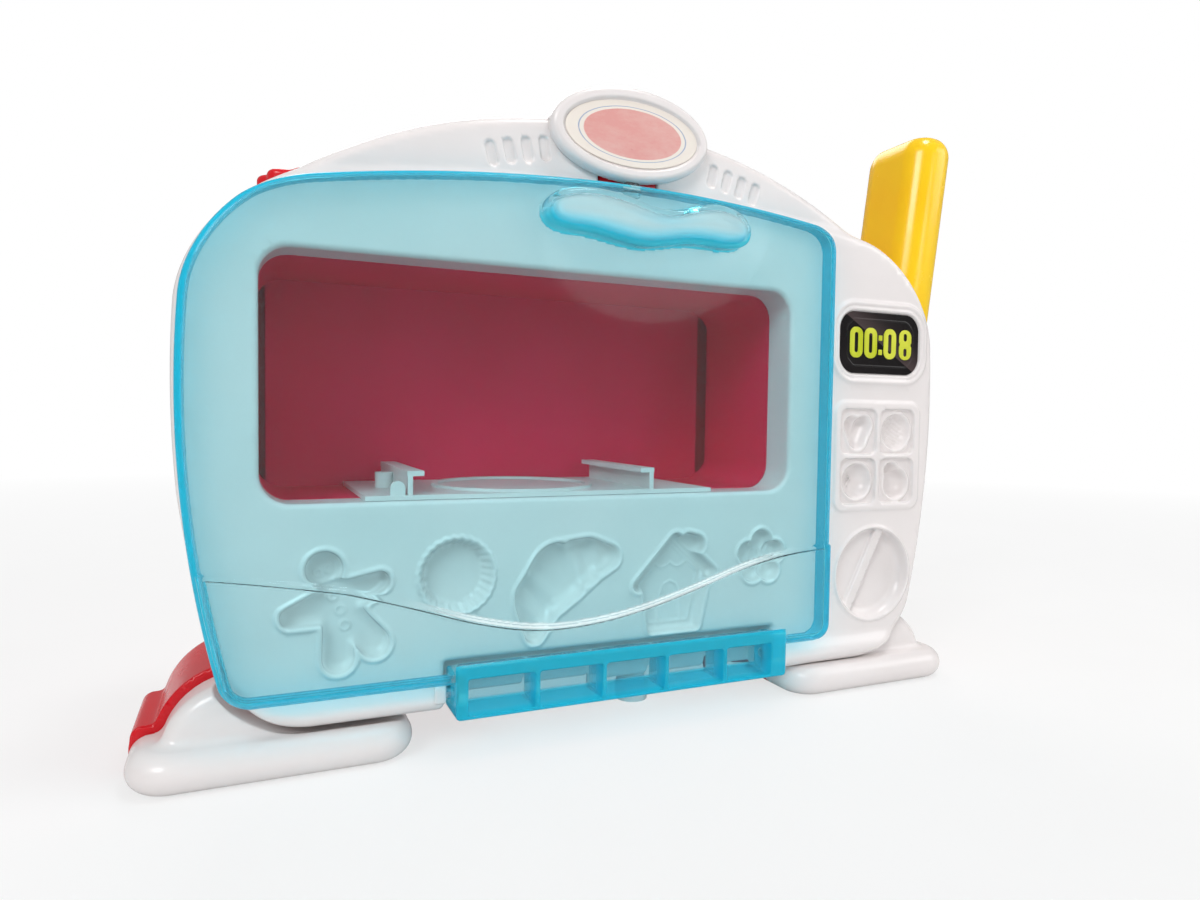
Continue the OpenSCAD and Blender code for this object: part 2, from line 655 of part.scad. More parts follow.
// The bridge under the chamber that guides the stem
module plunger_guide() color(white) placed() translate([lift_x, lift_y, 0]) difference() {
    union() {
        translate([0, 0, guide_under]) linear_extrude(guide_t) {
            square([2 * guide_reach, 16], center = true);
            for (s = [-1, 1]) translate([s * guide_reach, 0]) circle(8);
            circle(20);
        }
        translate([0, 0, guide_under]) cylinder(r = 16, h = disc_under - gap - guide_under);
        translate([0, 0, bush_end]) cylinder(r = bush_r, h = guide_under - bush_end + 1);
    }
    translate([0, 0, bush_end - over]) cylinder(d = stem_d + 2 * run, h = 40);
    for (s = [-1, 1]) translate([s * guide_reach, 0, guide_under - over])
        cylinder(d = screw_d + 2 * run, h = guide_t + 2 * over);
}
module guide_screws() color(steel) placed() for (s = [-1, 1])
    translate([lift_x + s * guide_reach, lift_y, guide_under - gap]) screw(guide_t + liner_wall + plate_t + 3);

module arm_shape(d) {
    limb(pivot, nose, nose_limb_r + d);
    translate(nose) circle(nose_r + d);
    limb(pivot, elbow, limb_r + d);
    limb(elbow, tongue, limb_r + d);
    translate(pivot) circle(hub_r + d);
}
module lever_arm() color(yellow) placed() difference() {
    slab(arm_y[0], arm_y[1]) arm_shape(0);
    bar_y(pivot, pin_d / 2 + run, 0, body_depth);
    for (p = grip_bore) bar_y(p, screw_d / 2 + run, 0, body_depth);
}
// The grip's section along its leaning middle line
module grip_core(d) translate([grip_base[0], lever_y, grip_base[1]]) rotate([0, lever_lean, 0])
    translate([0, 0, -20]) linear_extrude(grip_len + 60) pad(lever_w - 2 * d, lever_deep - 2 * d, 12 - d);
module lever_grip() color(yellow) placed() difference() {
    union() {
        difference() {
            intersection() {
                grip_core(0);
                grip_dome(0);
            }
            intersection() {
                grip_core(grip_wall);
                grip_dome(grip_wall);
            }
        }
        intersection() {
            grip_core(0);
            for (p = grip_bore) {
                bar_y(p, 4.4, lever_y - lever_deep / 2 + 1, arm_y[0] - gap);
                bar_y(p, 4.4, arm_y[1] + gap, lever_y + lever_deep / 2 - 0.2);
            }
        }
    }
    block([0, 2 * half_w], [0, body_depth], [0, grip_foot_z]);
    slab(arm_y[0] - gap, arm_y[1] + gap) arm_shape(0.3);
    for (p = grip_bore) {
        bar_y(p, screw_d / 2 + run, lever_y - grip_seat, body_depth);
        bar_y(p, head_d / 2 + 0.3, lever_y + grip_seat, body_depth);
    }
}
// What bounds the grip's top, seen from the front and from the side
module grip_dome(d) intersection() {
    slab(0, body_depth) translate(grip_base) rotate(-lever_lean) {
        translate([-lever_w, -over - 20]) square([2 * lever_w, grip_len + 10]);
        translate([lever_w / 2 - grip_corner[1], grip_len - grip_corner[1] - d]) circle(grip_corner[1]);
        translate([grip_corner[0] - lever_w / 2, grip_len - grip_corner[0] - d]) circle(grip_corner[0]);
    }
    translate([0, lever_y, 0]) rotate([90, 0, 90]) linear_extrude(2 * half_w) {
        translate([-lever_deep, 0]) square([2 * lever_deep, lever_top - 12 - d]);
        translate([0, lever_top - 12 - d]) pad(lever_deep, 24, 10);
    }
}
module lever_pin() color(steel) placed() {
    bar_y(pivot, pin_d / 2, arm_y[0] - gap - 0.1, pin_back);
    bar_y(pivot, pin_d / 2 + 2, arm_y[0] - gap - 2.6, arm_y[0] - gap);
}
module grip_screws() color(steel) placed() for (p = grip_bore) screw_in(p, lever_y + grip_seat + gap, 22);

// The edge of the door's wave: level at both ends, with one long dip
function wave_edge(x) = let (t = (x - wave_mid) / wave_half)
    wave_top - (abs(t) < 1 ? wave_dip * (1 + cos(180 * t)) / 2 : 0);
module wave_part(d) intersection() {
    polygon(door_line(rim_round / 2 + d));
    polygon(concat([[door_right, 0], [door_right, wave_edge(door_right) - d]],
        [for (i = [0 : 28]) let (x = door_right - door_w * i / 28) [x, wave_edge(x) - d]],
        [[door_left, 0]]));
}
// The handle is a bar with two humps and a dip between them
function hump(x) = let (t = 2 * x / grip_w) -3.4 * cos(360 * t) * (1 - t * t) - 1.5 * (1 - abs(t));
function grip_line(inset) = let (n = 18, l = grip_w / 2 - inset, h = grip_h / 2 - inset) concat(
    [for (i = [0 : n]) let (a = 90 - 180 * i / n, t = cos(180 * i / n))
        [l * t, grip_z + hump(l * t) + h * pow(sin(180 * i / n), 0.4)]],
    [for (i = [1 : n - 1]) let (t = -cos(180 * i / n))
        [l * t, grip_z + hump(l * t) - h * pow(sin(180 * i / n), 0.4)]]);
module door() color(blue) placed() difference() {
    union() {
        loft([for (a = [0 : 30 : 90])
            [door_front + rim_round * (1 - cos(a)), door_line(rim_round * (1 - sin(a)))],
            [door_back, door_line(0)]]);
        slab(wave_front, door_front + 1) wave_part(0);
        loft([[grip_front, grip_line(3.2)], [grip_front + 0.9, grip_line(1.4)], [grip_front + 3, grip_line(0.3)],
            [door_front + 1, grip_line(0)]]);
        slab(rail_front, rail_back) translate([0, (rail_base + rail_top) / 2])
            pad(rail_w, rail_top - rail_base, 1.5);
        slab(-3, door_back) translate([0, latch_z - 6.3]) pad(6.4, 11.6, 1);
        block([-3.2, 3.2], [-2, 4], [latch_z - 2, latch_z - 0.5]);
    }
    loft([[door_front + door_wall, door_line(door_wall + 0.6)],
        [door_front + door_wall + 1, door_line(door_wall)], [door_back + over, door_line(door_wall)]]
        );
    slab(wave_front + door_wall, door_front + door_wall + over) wave_part(door_wall);
    slab(grip_front + door_wall, door_front + door_wall + over) polygon(grip_line(door_wall));
    for (i = [0 : pocket_count - 1]) let (a = pin_wall - rail_w / 2 + i * pocket_pitch) block(
        [a, min(a + pocket_pitch - pocket_rib, rail_w / 2 - end_wall)], [rail_front - over, pocket_back], pocket_z);
    for (s = [-1, 1]) bar_x(hinge_y, hinge_z, rod_d / 2 + run, s * rail_w / 2 - pin_in, s * rail_w / 2 + pin_in);
}
module hinge_pins() color(steel) placed() for (s = [-1, 1])
    bar_x(hinge_y, hinge_z, rod_d / 2, s > 0 ? rail_w / 2 - pin_in + gap : -rail_space - 3 + gap,
        s > 0 ? rail_space + 3 - gap : pin_in - gap - rail_w / 2);

module latch_catch() color(red) placed() difference() {
    union() {
        slab(arch_face + 5 + gap, arch_face + 7) translate([0, latch_z + 1.5]) pad(34, 15, 2);
        for (s = [-1, 1]) block(span(s * 8.3, 3.6), [arch_face + 0.4, arch_face + 6], span(latch_z, 2));
    }
    for (x = [-1, 1] * 13) bar_y([x, latch_z + 6.6], 1.4 + gap, 0, 20);
}

module plaque() color(white) placed() difference() {
    loft([for (s = [[plaque_front, 2.6], [plaque_front + 0.7, 1], [plaque_front + 2.4, 0], [plaque_back, 0]])
        [s[0], [for (p = ellipse(plaque_w, plaque_h, s[1], 48)) p + [0, plaque_z]]]]);
    slab(plaque_front - over, plaque_front + 0.8) translate([0, plaque_z]) polygon(ellipse(plaque_w, plaque_h, 7, 48));
    bar_y([0, arch_cz], arch_r + gap, arch_face - gap, body_depth);
    block([-half_w, half_w], [-gap, body_depth], [0, body_top]);
}
module plaque_label() color([0.93, 0.78, 0.77]) placed() slab(plaque_front + 0.8 - label_t - gap, plaque_front + 0.8 - gap)
    translate([0, plaque_z]) polygon(ellipse(plaque_w, plaque_h, 7.4, 48));
module timer_label() color(dark) placed() slab(0.4 - label_t - gap, 0.4 - gap)
    translate([panel_x, window_z]) pad(window_w - 0.6, window_h - 0.6, 8.1);

module turning_dial() color(red) placed() translate([dial_at[0], dial_at[1], 0]) difference() {
    union() {
        translate([0, 0, dial_seat + gap]) linear_extrude(dial_h - 2) dial_star(0);
        translate([0, 0, dial_seat + dial_h - 2]) linear_extrude(2) dial_star(1);
        translate([0, 0, dial_boss - 0.6]) cylinder(r = dial_shaft, h = dial_seat - dial_boss + 3);
    }
    translate([0, 0, dial_boss - over]) cylinder(r = 1.5 + run, h = 12);
}
module dial_star(d) {
    circle(dial_d / 2 - 2.6 - d);
    for (i = [0 : dial_lobes - 1]) rotate(360 * i / dial_lobes)
        translate([dial_d / 2 - 4.2, 0]) circle(4.2 - d, $fn = 24);
}
module dial_washer() color(steel) placed() translate([dial_at[0], dial_at[1], dial_boss - 0.6 - gap - washer_t])
    difference() {
        cylinder(r = 7.5, h = washer_t);
        translate([0, 0, -over]) cylinder(d = screw_d + 2 * run, h = 4);
    }
module dial_screw() color(steel) placed()
    translate([dial_at[0], dial_at[1], dial_boss - 0.6 - 2 * gap - washer_t]) screw(10);

// A slab with round corners and full-round edges that lies flat on the table
module foot_slab(x, y) {
    r = foot_r;
    q = foot_corner - r;
    xs = [x[0] + foot_corner, x[1] - foot_corner];
    ys = [y[0] + foot_corner, y[1] - foot_corner];
    block(xs, [y[0] + r, y[1] - r], [0, foot_h]);
    block([x[0] + r, x[1] - r], ys, [0, foot_h]);
    for (px = [x[0] + r, x[1] - r]) translate([px, ys[1], r]) rotate([90, 0, 0]) cylinder(r = r, h = ys[1] - ys[0]);
    for (py = [y[0] + r, y[1] - r]) bar_x(py, r, r, xs[0], xs[1]);
    for (px = xs, py = ys) translate([px, py, r]) rotate_extrude() {
        translate([q, 0]) circle(r);
        translate([0, -r]) square([q, foot_h]);
    }
}
module foot_form() foot_slab([foot_reach - foot_len, foot_reach], [foot_front, foot_back + foot_r]);
module foot_bolt_hole(p) translate([p[0], p[1], 0]) {
    translate([0, 0, -over]) cylinder(d = screw_d + 2 * run, h = 40);
    translate([0, 0, -over]) cylinder(r = head_d / 2 + 0.4, h = 7 + over);
}
module front_foot() color(white) difference() {
    union() {
        intersection() {
            foot_form();
            block([0, 2 * half_w], [foot_front - over, front_depth], [0, foot_h]);
        }
        bar_y(mound_mid, mound_r, mound_face, front_depth);
        bar_y(mound_mid + [0.5, 0], mound_r - 1.6, mound_face - 1.6, mound_face);
        block([foot_reach - foot_len + foot_r, mound_mid[0]], [mound_face, front_depth], [foot_h - 1, body_base + 3]);
    }
    body_loft(front_rings(-gap, front_depth + over));
    block([0, 2 * half_w], [-20, body_depth], [-50, 0]);
    foot_bolt_hole([foot_bolt_x, foot_bolt_y[0]]);
}
module rear_foot() color(red) difference() {
    union() {
        intersection() {
            foot_form();
            block([0, 2 * half_w], [split, foot_back], [0, foot_h]);
        }
        bar_y(mound_mid, mound_r + 5, split, foot_back);
        slab(split, foot_back + foot_r - foot_corner) translate([foot_reach - 6, 12]) pad(12, 24, 4);
        block([foot_reach - foot_len + foot_r, mound_mid[0]], [split, foot_back], [foot_h - 1, body_base + 8]);
    }
    body_loft(rear_rings(-gap, split - over));
    block([0, 2 * half_w], [-20, body_depth], [-50, 0]);
    foot_bolt_hole([foot_bolt_x, foot_bolt_y[1]]);
}
module right_foot_front() placed() front_foot();
module right_foot_rear() placed() rear_foot();
module left_foot_front() placed() mirror([1, 0, 0]) front_foot();
module left_foot_rear() placed() mirror([1, 0, 0]) rear_foot();
// The round support under the middle
module middle_foot() color(white) placed() difference() {
    translate([middle_foot_at[0], middle_foot_at[1], 0]) cylinder(r = middle_foot_r, h = body_base + 8);
    body_loft(rear_rings(-gap, split - over));
    foot_bolt_hole(middle_foot_at);
}
module foot_screws() color(steel) placed()
    for (p = concat([for (s = [-1, 1]) [s * foot_bolt_x, foot_bolt_y[0]]], rear_bolts))
        translate([p[0], p[1], 7 - gap]) screw(14);

module shell_screws() color(steel) placed() for (p = shell_posts) screw_in(p, post_seat + gap, 22);
module liner_screws() color(steel) placed() for (p = liner_posts) screw_in(p, liner_front + 2.4 + gap, 12);

module hatch_pad(d) translate([battery_x, battery_z]) square(hatch + 2 * d * [1, 1], center = true);
module battery_box() color(white) placed() difference() {
    union() {
        slab(battery_front, battery_rim) translate([battery_x, battery_z])
            square(battery_in + 2 * battery_wall * [1, 1], center = true);
        slab(battery_rim - 1.5, battery_rim) hatch_pad(2);
        slab(battery_front, battery_rim - 1) limb(hatch_screw - [4, 0], hatch_screw, 4);
    }
    slab(battery_front + battery_wall, body_depth) translate([battery_x, battery_z])
        square(battery_in, center = true);
    bar_y(hatch_screw, 4.6, body_depth - hatch_sink - 1.6 - gap, body_depth);
    bar_y(hatch_screw, screw_d / 2 + run, battery_front + 2, body_depth);
}
module battery_door() color(red) placed() difference() {
    union() {
        slab(body_depth - shell_wall, body_depth) hatch_pad(0);
        bar_y(hatch_screw, 4.2, body_depth - hatch_sink - 1.6, body_depth - 1);
    }
    bar_y(hatch_screw, head_d / 2 + 0.3, body_depth - hatch_sink, body_depth + over);
    bar_y(hatch_screw, screw_d / 2 + run, 0, body_depth);
}
module battery_door_screw() color(steel) placed() screw_in(hatch_screw, body_depth - hatch_sink + gap, 9);
module each_cell() for (i = [0 : cell_count - 1])
    translate([battery_x, battery_front + battery_wall + cell_d / 2 + 0.4,
        battery_z + (i - (cell_count - 1) / 2) * battery_pitch])
    rotate([0, i % 2 == 0 ? 90 : -90, 0]) children();
module batteries() color([0.2, 0.22, 0.24]) placed() each_cell() {
    translate([0, 0, -cell_len / 2]) cylinder(d = cell_d, h = cell_len - 1);
    translate([0, 0, cell_len / 2 - 1]) cylinder(d = 3.8, h = 1);
}
module battery_contacts() color(steel) placed() each_cell() for (s = [-1, 1])
    translate([0, 0, s * (cell_len / 2 + 0.6)]) cube([8, 8, 0.6], center = true);

module sound_board() color(green) placed() {
    slab(board_y, board_y + 1.6) translate([board_x, window_z]) square(board_size, center = true);
    slab(board_y + 1.5, board_y + 3.2) translate([board_x - 6, window_z + 3]) square([9, 9], center = true);
    bar_y([board_x + 9, window_z + 2], 3, board_y + 1.5, board_y + 6.4);
}
module speaker() color(dark) placed() {
    bar_y(speaker_at, speaker_r, body_depth - shell_wall - 3.6, body_depth - shell_wall - gap);
    bar_y(speaker_at, 7, body_depth - 12, body_depth - shell_wall - 3);
}
module lever_switch() color(dark) placed() {
    block(span(switch_x - 5.5, 8.5), [lever_y - 3, lever_y + 3.8], [switch_z + 2.6, switch_z + 12]);
    translate([switch_x, lever_y, switch_z]) cylinder(r = 1.2, h = 4);
}

front_shell();
rear_shell();
oven_liner();
floor_plate();
lift_disc();
plunger_foot();
return_spring();
plunger_guide();
guide_screws();
lever_arm();
lever_grip();
lever_pin();
grip_screws();
door();
hinge_pins();
latch_catch();
plaque();
plaque_label();
timer_label();
turning_dial();
dial_washer();
dial_screw();
left_foot_front();
left_foot_rear();
right_foot_front();
right_foot_rear();
middle_foot();
battery_box();
battery_door();
batteries();
battery_contacts();
battery_door_screw();
sound_board();
speaker();
lever_switch();
shell_screws();
liner_screws();
foot_screws();
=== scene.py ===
"""Looks of the toy oven: a white front shell with relief moulds, a red back, a see-through blue door with a
wavy handle, a yellow lever, a lobed dial and wide slab feet. Lengths are millimetres in the body's own frame
(X from the body's middle, Y from its face, Z from the table) until row() turns them into the row frame."""
import bpy
import functools
import math
import numpy as np
import openvdb
from mathutils import Matrix, Vector


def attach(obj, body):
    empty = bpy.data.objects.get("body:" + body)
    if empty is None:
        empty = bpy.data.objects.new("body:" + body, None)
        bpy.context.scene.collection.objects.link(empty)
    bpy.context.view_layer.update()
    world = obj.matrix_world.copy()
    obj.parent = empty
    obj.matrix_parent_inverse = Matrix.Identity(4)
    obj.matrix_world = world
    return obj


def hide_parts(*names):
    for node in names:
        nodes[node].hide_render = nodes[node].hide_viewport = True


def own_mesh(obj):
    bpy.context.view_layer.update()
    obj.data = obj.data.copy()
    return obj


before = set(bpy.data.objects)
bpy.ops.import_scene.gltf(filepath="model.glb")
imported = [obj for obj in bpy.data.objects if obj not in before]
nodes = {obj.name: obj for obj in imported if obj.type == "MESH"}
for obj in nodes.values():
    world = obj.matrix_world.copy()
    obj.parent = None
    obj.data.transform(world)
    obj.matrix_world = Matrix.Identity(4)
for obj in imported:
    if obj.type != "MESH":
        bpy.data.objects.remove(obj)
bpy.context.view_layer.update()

F = np.float32
MID = np.array([11.9518, 30.125, 0.0])  # the row frame's origin in the body's frame
EYE = (-134.75, -280.0, 120.4)  # where the photograph was taken from, in the body's frame

# Measures of the CAD part
WALL = 2.2  # of the mouldings
GAP = 0.15  # between parts that lie against each other
PILOT = 1.56  # radius of a hole that a screw bites into
SPLIT = 20.15  # where the red back shell begins
BACK = 78  # its rear face
OPEN_X, OPEN_Z, OPEN_W, OPEN_H = -27.2, 132.6, 208, 84
REVEAL = 16.5  # depth of the wall round the opening
PANEL_X = 126
TIMER = (PANEL_X, 155.5)
BLOCK_Z, BLOCK_STEP = 104.8, 22.2  # the four small moulds
ARCH_R, ARCH_Z = 216.667, 15.833
FRONT, WAVE_OUT, RAIL_OUT, GRIP_OUT = -9.35, 1.8, 3.3, 8.4  # the door's face, and what stands out of it
HINGE, RAIL_HALF, RAIL = (-1, 22), 70.5, ((0, 24.5), 138, 19, 1.5)
LIFT, TRAVEL = (-34, 38), 20.3
PIVOT, ELBOW, LEAN, LEVER_Y = (60, 45), (163, 120), math.radians(7.7), 40
DIAL = (-110, 43)
PLAQUE_Z, PLAQUE_HALF = 228.0, (33, 17.5)
FOOT_SCREW_X, FOOT_REACH, SLAB = 104, 171, 6.675  # half the slab's thickness


def row(p):
    """A point of the body's frame in the row frame, in metres."""
    return (np.asarray(p, float) - MID) / 1000


# ---------------------------------------------------------------- distances
def rmax(a, b, r):
    """Both, with the edge between them rounded to radius r."""
    a, b = a + r, b + r
    return np.minimum(np.maximum(a, b), 0) + np.hypot(np.maximum(a, 0), np.maximum(b, 0)) - r


def smin(a, b, k):
    """Either, with a soft fillet of width k."""
    h = np.maximum(k - np.abs(a - b), 0) / k
    return np.minimum(a, b) - h * h * k / 4


def circle(x, z, c, r):
    """Distance to a circle round c."""
    return np.hypot(x - c[0], z - c[1]) - r


def pad(x, z, c, w, h, r):
    """Distance to a rectangle round c with corners of radius r."""
    a, b = np.abs(x - c[0]) - (w / 2 - r), np.abs(z - c[1]) - (h / 2 - r)
    return np.minimum(np.maximum(a, b), 0) + np.hypot(np.maximum(a, 0), np.maximum(b, 0)) - r


def taper(x, z, p, r, q, t):
    """Two circles and what lies between them."""
    dx, dz = q[0] - p[0], q[1] - p[1]
    length = math.hypot(dx, dz)
    u, w = dx / length, dz / length
    along = (x - p[0]) * u + (z - p[1]) * w
    across = np.abs((z - p[1]) * u - (x - p[0]) * w)
    s = (r - t) / length
    c = math.sqrt(1 - s * s)
    k = along * c - across * s
    near, far = np.hypot(across, along) - r, np.hypot(across, along - length) - t
    return np.where(k < 0, near, np.where(k > c * length, far, across * c + along * s - r))


def limb(x, z, p, q, r):
    """A bar with round ends."""
    return taper(x, z, p, r, q, r)


def poly(x, z, points):
    """Signed distance to a closed polygon."""
    best, sign = None, None
    n = len(points)
    for i in range(n):
        ax, az = points[i - 1]
        bx, bz = points[i]
        ex, ez = bx - ax, bz - az
        wx, wz = x - ax, z - az
        t = np.clip((wx * ex + wz * ez) / max(ex * ex + ez * ez, 1e-9), 0, 1)
        d = (wx - ex * t) ** 2 + (wz - ez * t) ** 2
        best = d if best is None else np.minimum(best, d)
        c1, c2, c3 = z >= az, z < bz, ex * wz > ez * wx
        flip = (c1 & c2 & c3) | (~c1 & ~c2 & ~c3)
        sign = flip if sign is None else sign ^ flip
    return np.where(sign, -1, 1) * np.sqrt(best)


def turned(x, z, c, degrees):
    """x and z seen from c, on axes turned by degrees."""
    a = math.radians(degrees)
    dx, dz = x - c[0], z - c[1]
    return dx * math.cos(a) + dz * math.sin(a), dz * math.cos(a) - dx * math.sin(a)


def least(*d):
    """Any of the forms."""
    return functools.reduce(np.minimum, d)


def most(*d):
    """What the forms share."""
    return functools.reduce(np.maximum, d)


def soft(v, a, b):
    """From 0 where v is a to 1 where it is b."""
    t = np.clip((v - a) / (b - a), 0, 1)
    return t * t * (3 - 2 * t)


def cut_corners(ends):
    """Each side of a line, given by its ends, without its first and last quarters."""
    return [(t * a[0] + (1 - t) * b[0], t * a[1] + (1 - t) * b[1]) for a, b in ends for t in (0.75, 0.25)]


class Grid:
    """A block of sample points, and the field of distances on it."""

    def __init__(self, lo, hi, pitch):
        self.lo, self.pitch = np.array(lo, float), pitch
        n = [int(math.ceil((b - a) / pitch)) + 1 for a, b in zip(lo, hi)]
        ax = [(a + pitch * np.arange(k)).astype(F) for a, k in zip(lo, n)]
        self.x, self.y, self.z = ax[0][:, None, None], ax[1][None, :, None], ax[2][None, None, :]
        self.f = None

    def window(self, x0, x1, z0, z1):
        """The part of the field between these sides, with its own x, y and z."""
        i = np.searchsorted(self.x[:, 0, 0], [x0, x1])
        k = np.searchsorted(self.z[0, 0, :], [z0, z1])
        s = (slice(i[0], i[1]), slice(None), slice(k[0], k[1]))
        return s, self.x[s[0]], self.y, self.z[:, :, s[2]]

    def around(self, p, r):
        return self.window(p[0] - r, p[0] + r, p[1] - r, p[1] + r)

    def fit(self, s, solid, hole):
        """Adds solid to the part s of the field, then takes hole out of it."""
        self.f[s] = np.maximum(np.minimum(self.f[s], solid), -hole)

    def shape(self):
        return np.broadcast(self.x, self.y, self.z).shape


def sample(f, p):
    """The field f between its points, at each p."""
    i = np.clip(np.floor(p).astype(int), 0, np.array(f.shape) - 2)
    t = p - i
    out = 0
    for a in (0, 1):
        for b in (0, 1):
            for c in (0, 1):
                x, y, z = (t[:, n] if far else 1 - t[:, n] for n, far in enumerate((a, b, c)))
                w = x * y * z
                out = out + w * f[i[:, 0] + a, i[:, 1] + b, i[:, 2] + c]
    return out


def placed(name, data):
    """A new object in the scene."""
    ob = bpy.data.objects.new(name, data)
    bpy.context.scene.collection.objects.link(ob)
    return ob


def surface(name, grid, adapt=0.0, mirror=False):
    """The closed mesh of a grid's field, with smooth normals read from the field."""
    h = grid.pitch
    band = 3 * h
    f = np.clip(np.broadcast_to(grid.f, grid.shape()), -band, band).astype(F)
    for s in (0, -1):
        f[s], f[:, s], f[:, :, s] = band, band, band
    vol = openvdb.FloatGrid(band)
    vol.copyFromArray(f)
    pts, tris, quads = vol.convertToPolygons(0.0, adapt)
    normal = np.stack([sample(f, pts + e) - sample(f, pts - e) for e in 0.6 * np.eye(3)], 1)
    normal /= np.maximum(np.linalg.norm(normal, axis=1), 1e-9)[:, None]
    co = grid.lo + h * pts
    if mirror:
        co[:, 0] *= -1
        normal[:, 0] *= -1
    faces = [np.asarray(quads)[:, ::-1], np.asarray(tris)[:, ::-1]]
    a, b, c = (co[faces[0][:, k]] for k in (0, 1, 2))
    out = np.cross(b - a, c - b)
    if (out * normal[faces[0][:, 0]]).sum() < 0:
        faces = [x[:, ::-1] for x in faces]
    me = bpy.data.meshes.new(name)
    me.from_pydata(row(co).tolist(), [], faces[0].tolist() + faces[1].tolist())
    me.validate()
    me.shade_smooth()
    if len(me.vertices) == len(normal):
        me.normals_split_custom_set_from_vertices(normal.tolist())
    print("piece", name, len(me.vertices), len(me.polygons))
    return placed(name, me)


def finished(ob, body, slot, material, *replaced):
    """Puts a piece on its body, in its material, and in the place of CAD nodes; its slot is not used."""
    ob.data.materials.append(material)
    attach(ob, body)
    if replaced:
        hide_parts(*replaced)
    return ob


# ---------------------------------------------------------------- materials
def srgb(r, g, b):
    """A colour given as it looks on a screen, 0 to 255."""
    def lin(v):
        v /= 255
        return v / 12.92 if v <= 0.04045 else ((v + 0.055) / 1.055) ** 2.4
    return (lin(r), lin(g), lin(b), 1)


class Nodes:
    """A material's nodes, round one Principled shader."""

    def __init__(self, name):
        self.material = bpy.data.materials.new(name)
        self.material.use_nodes = True
        self.tree = self.material.node_tree
        self.tree.nodes.clear()
        self.out = self.add("ShaderNodeOutputMaterial")
        self.shader = self.add("ShaderNodeBsdfPrincipled")
        self.link(self.shader.outputs[0], self.out.inputs[0])
        self.place = self.add("ShaderNodeTexCoord").outputs["Object"]

    def add(self, kind, **values):
        node = self.tree.nodes.new(kind)
        for k, v in values.items():
            setattr(node, k, v)
        return node

    def link(self, a, b):
        self.tree.links.new(a, b)

    def noise(self, scale, detail=3.0, rough=0.5, stretch=None):
        n = self.add("ShaderNodeTexNoise")
        n.inputs["Scale"].default_value = scale
        n.inputs["Detail"].default_value = detail
        n.inputs["Roughness"].default_value = rough
        place = self.place
        if stretch:
            m = self.add("ShaderNodeMapping")
            m.inputs["Scale"].default_value = stretch[:3]
            m.inputs["Rotation"].default_value = stretch[3:]
            self.link(place, m.inputs["Vector"])
            place = m.outputs[0]
        self.link(place, n.inputs["Vector"])
        return n.outputs["Fac"]

    def ramp(self, fac, *stops):
        r = self.add("ShaderNodeValToRGB")
        while len(r.color_ramp.elements) < len(stops):
            r.color_ramp.elements.new(0.5)
        for e, (at, colour) in zip(r.color_ramp.elements, stops):
            e.position, e.color = at, colour
        self.link(fac, r.inputs[0])
        return r.outputs["Color"]

    def range(self, fac, a, b, lo=0.3, hi=0.7):
        """From a where fac is lo to b where it is hi."""
        m = self.add("ShaderNodeMapRange")
        for k, v in zip(("From Min", "From Max", "To Min", "To Max"), (lo, hi, a, b)):
            m.inputs[k].default_value = v
        self.link(fac, m.inputs["Value"])
        return m.outputs[0]

    def math(self, op, a, b=None, c=None):
        m = self.add("ShaderNodeMath", operation=op)
        for i, v in enumerate((a, b, c)):
            if v is None:
                continue
            if isinstance(v, (int, float)):
                m.inputs[i].default_value = v
            else:
                self.link(v, m.inputs[i])
        return m.outputs[0]

    def mix(self, fac, a, b):
        """The colour a, and the constant b where fac is 1."""
        n = self.add("ShaderNodeMix", data_type="RGBA")
        self.link(fac, n.inputs["Factor"])
        self.link(a, n.inputs["A"])
        n.inputs["B"].default_value = b
        return n.outputs["Result"]

    def instead(self, fac, other):
        """Shows the shader other where fac is 1."""
        mix = self.add("ShaderNodeMixShader")
        self.link(fac, mix.inputs[0])
        self.link(self.shader.outputs[0], mix.inputs[1])
        self.link(other.outputs[0], mix.inputs[2])
        self.link(mix.outputs[0], self.out.inputs["Surface"])

    def set(self, **values):
        for k, v in values.items():
            self.shader.inputs[k.replace("_", " ")].default_value = v

    def bump(self, height, strength, distance):
        b = self.add("ShaderNodeBump")
        b.inputs["Strength"].default_value = strength
        b.inputs["Distance"].default_value = distance
        self.link(height, b.inputs["Height"])
        self.link(b.outputs[0], self.shader.inputs["Normal"])


def plastic(name, light, dark, rough, bump=0.08, grain=900, ior=1.5):
    """Moulded plastic: a faint mottle in its colour, handled patches in its gloss and a fine skin."""
    m = Nodes(name)
    mottle = m.noise(28, 4, 0.55)
    m.link(m.ramp(mottle, (0.3, dark), (0.62, light)), m.shader.inputs["Base Color"])
    worn = m.noise(55, 5, 0.6, (1, 1, 1, 0.4, 0.2, 0.1))
    m.link(m.range(worn, rough[0], rough[1]), m.shader.inputs["Roughness"])
    m.bump(m.noise(grain, 2, 0.5), bump, 0.00004)
    m.set(IOR=ior)
    return m.material


WHITE = plastic("white_plastic", srgb(236, 230, 229), srgb(232, 226, 225), (0.19, 0.27))
INNER = plastic("white_satin", srgb(232, 226, 224), srgb(224, 218, 217), (0.32, 0.48), 0.25)
RED = plastic("red_plastic", srgb(220, 20, 34), srgb(212, 15, 30), (0.20, 0.28), 0.05, 900, 1.42)
CHAMBER = plastic("red_chamber", srgb(240, 26, 78), srgb(234, 20, 70), (0.46, 0.52), 0.06, 900, 1.22)
YELLOW = plastic("yellow_plastic", srgb(255, 212, 16), srgb(254, 204, 8), (0.18, 0.28))
BOARD = plastic("board_green", srgb(42, 112, 66), srgb(32, 92, 52), (0.35, 0.55), 0.4, 1500)
BLACK = plastic("black_plastic", srgb(30, 29, 31), srgb(22, 21, 23), (0.35, 0.5), 0.4)
CELL = plastic("cell_wrap", srgb(52, 56, 62), srgb(40, 43, 48), (0.25, 0.4), 0.2)


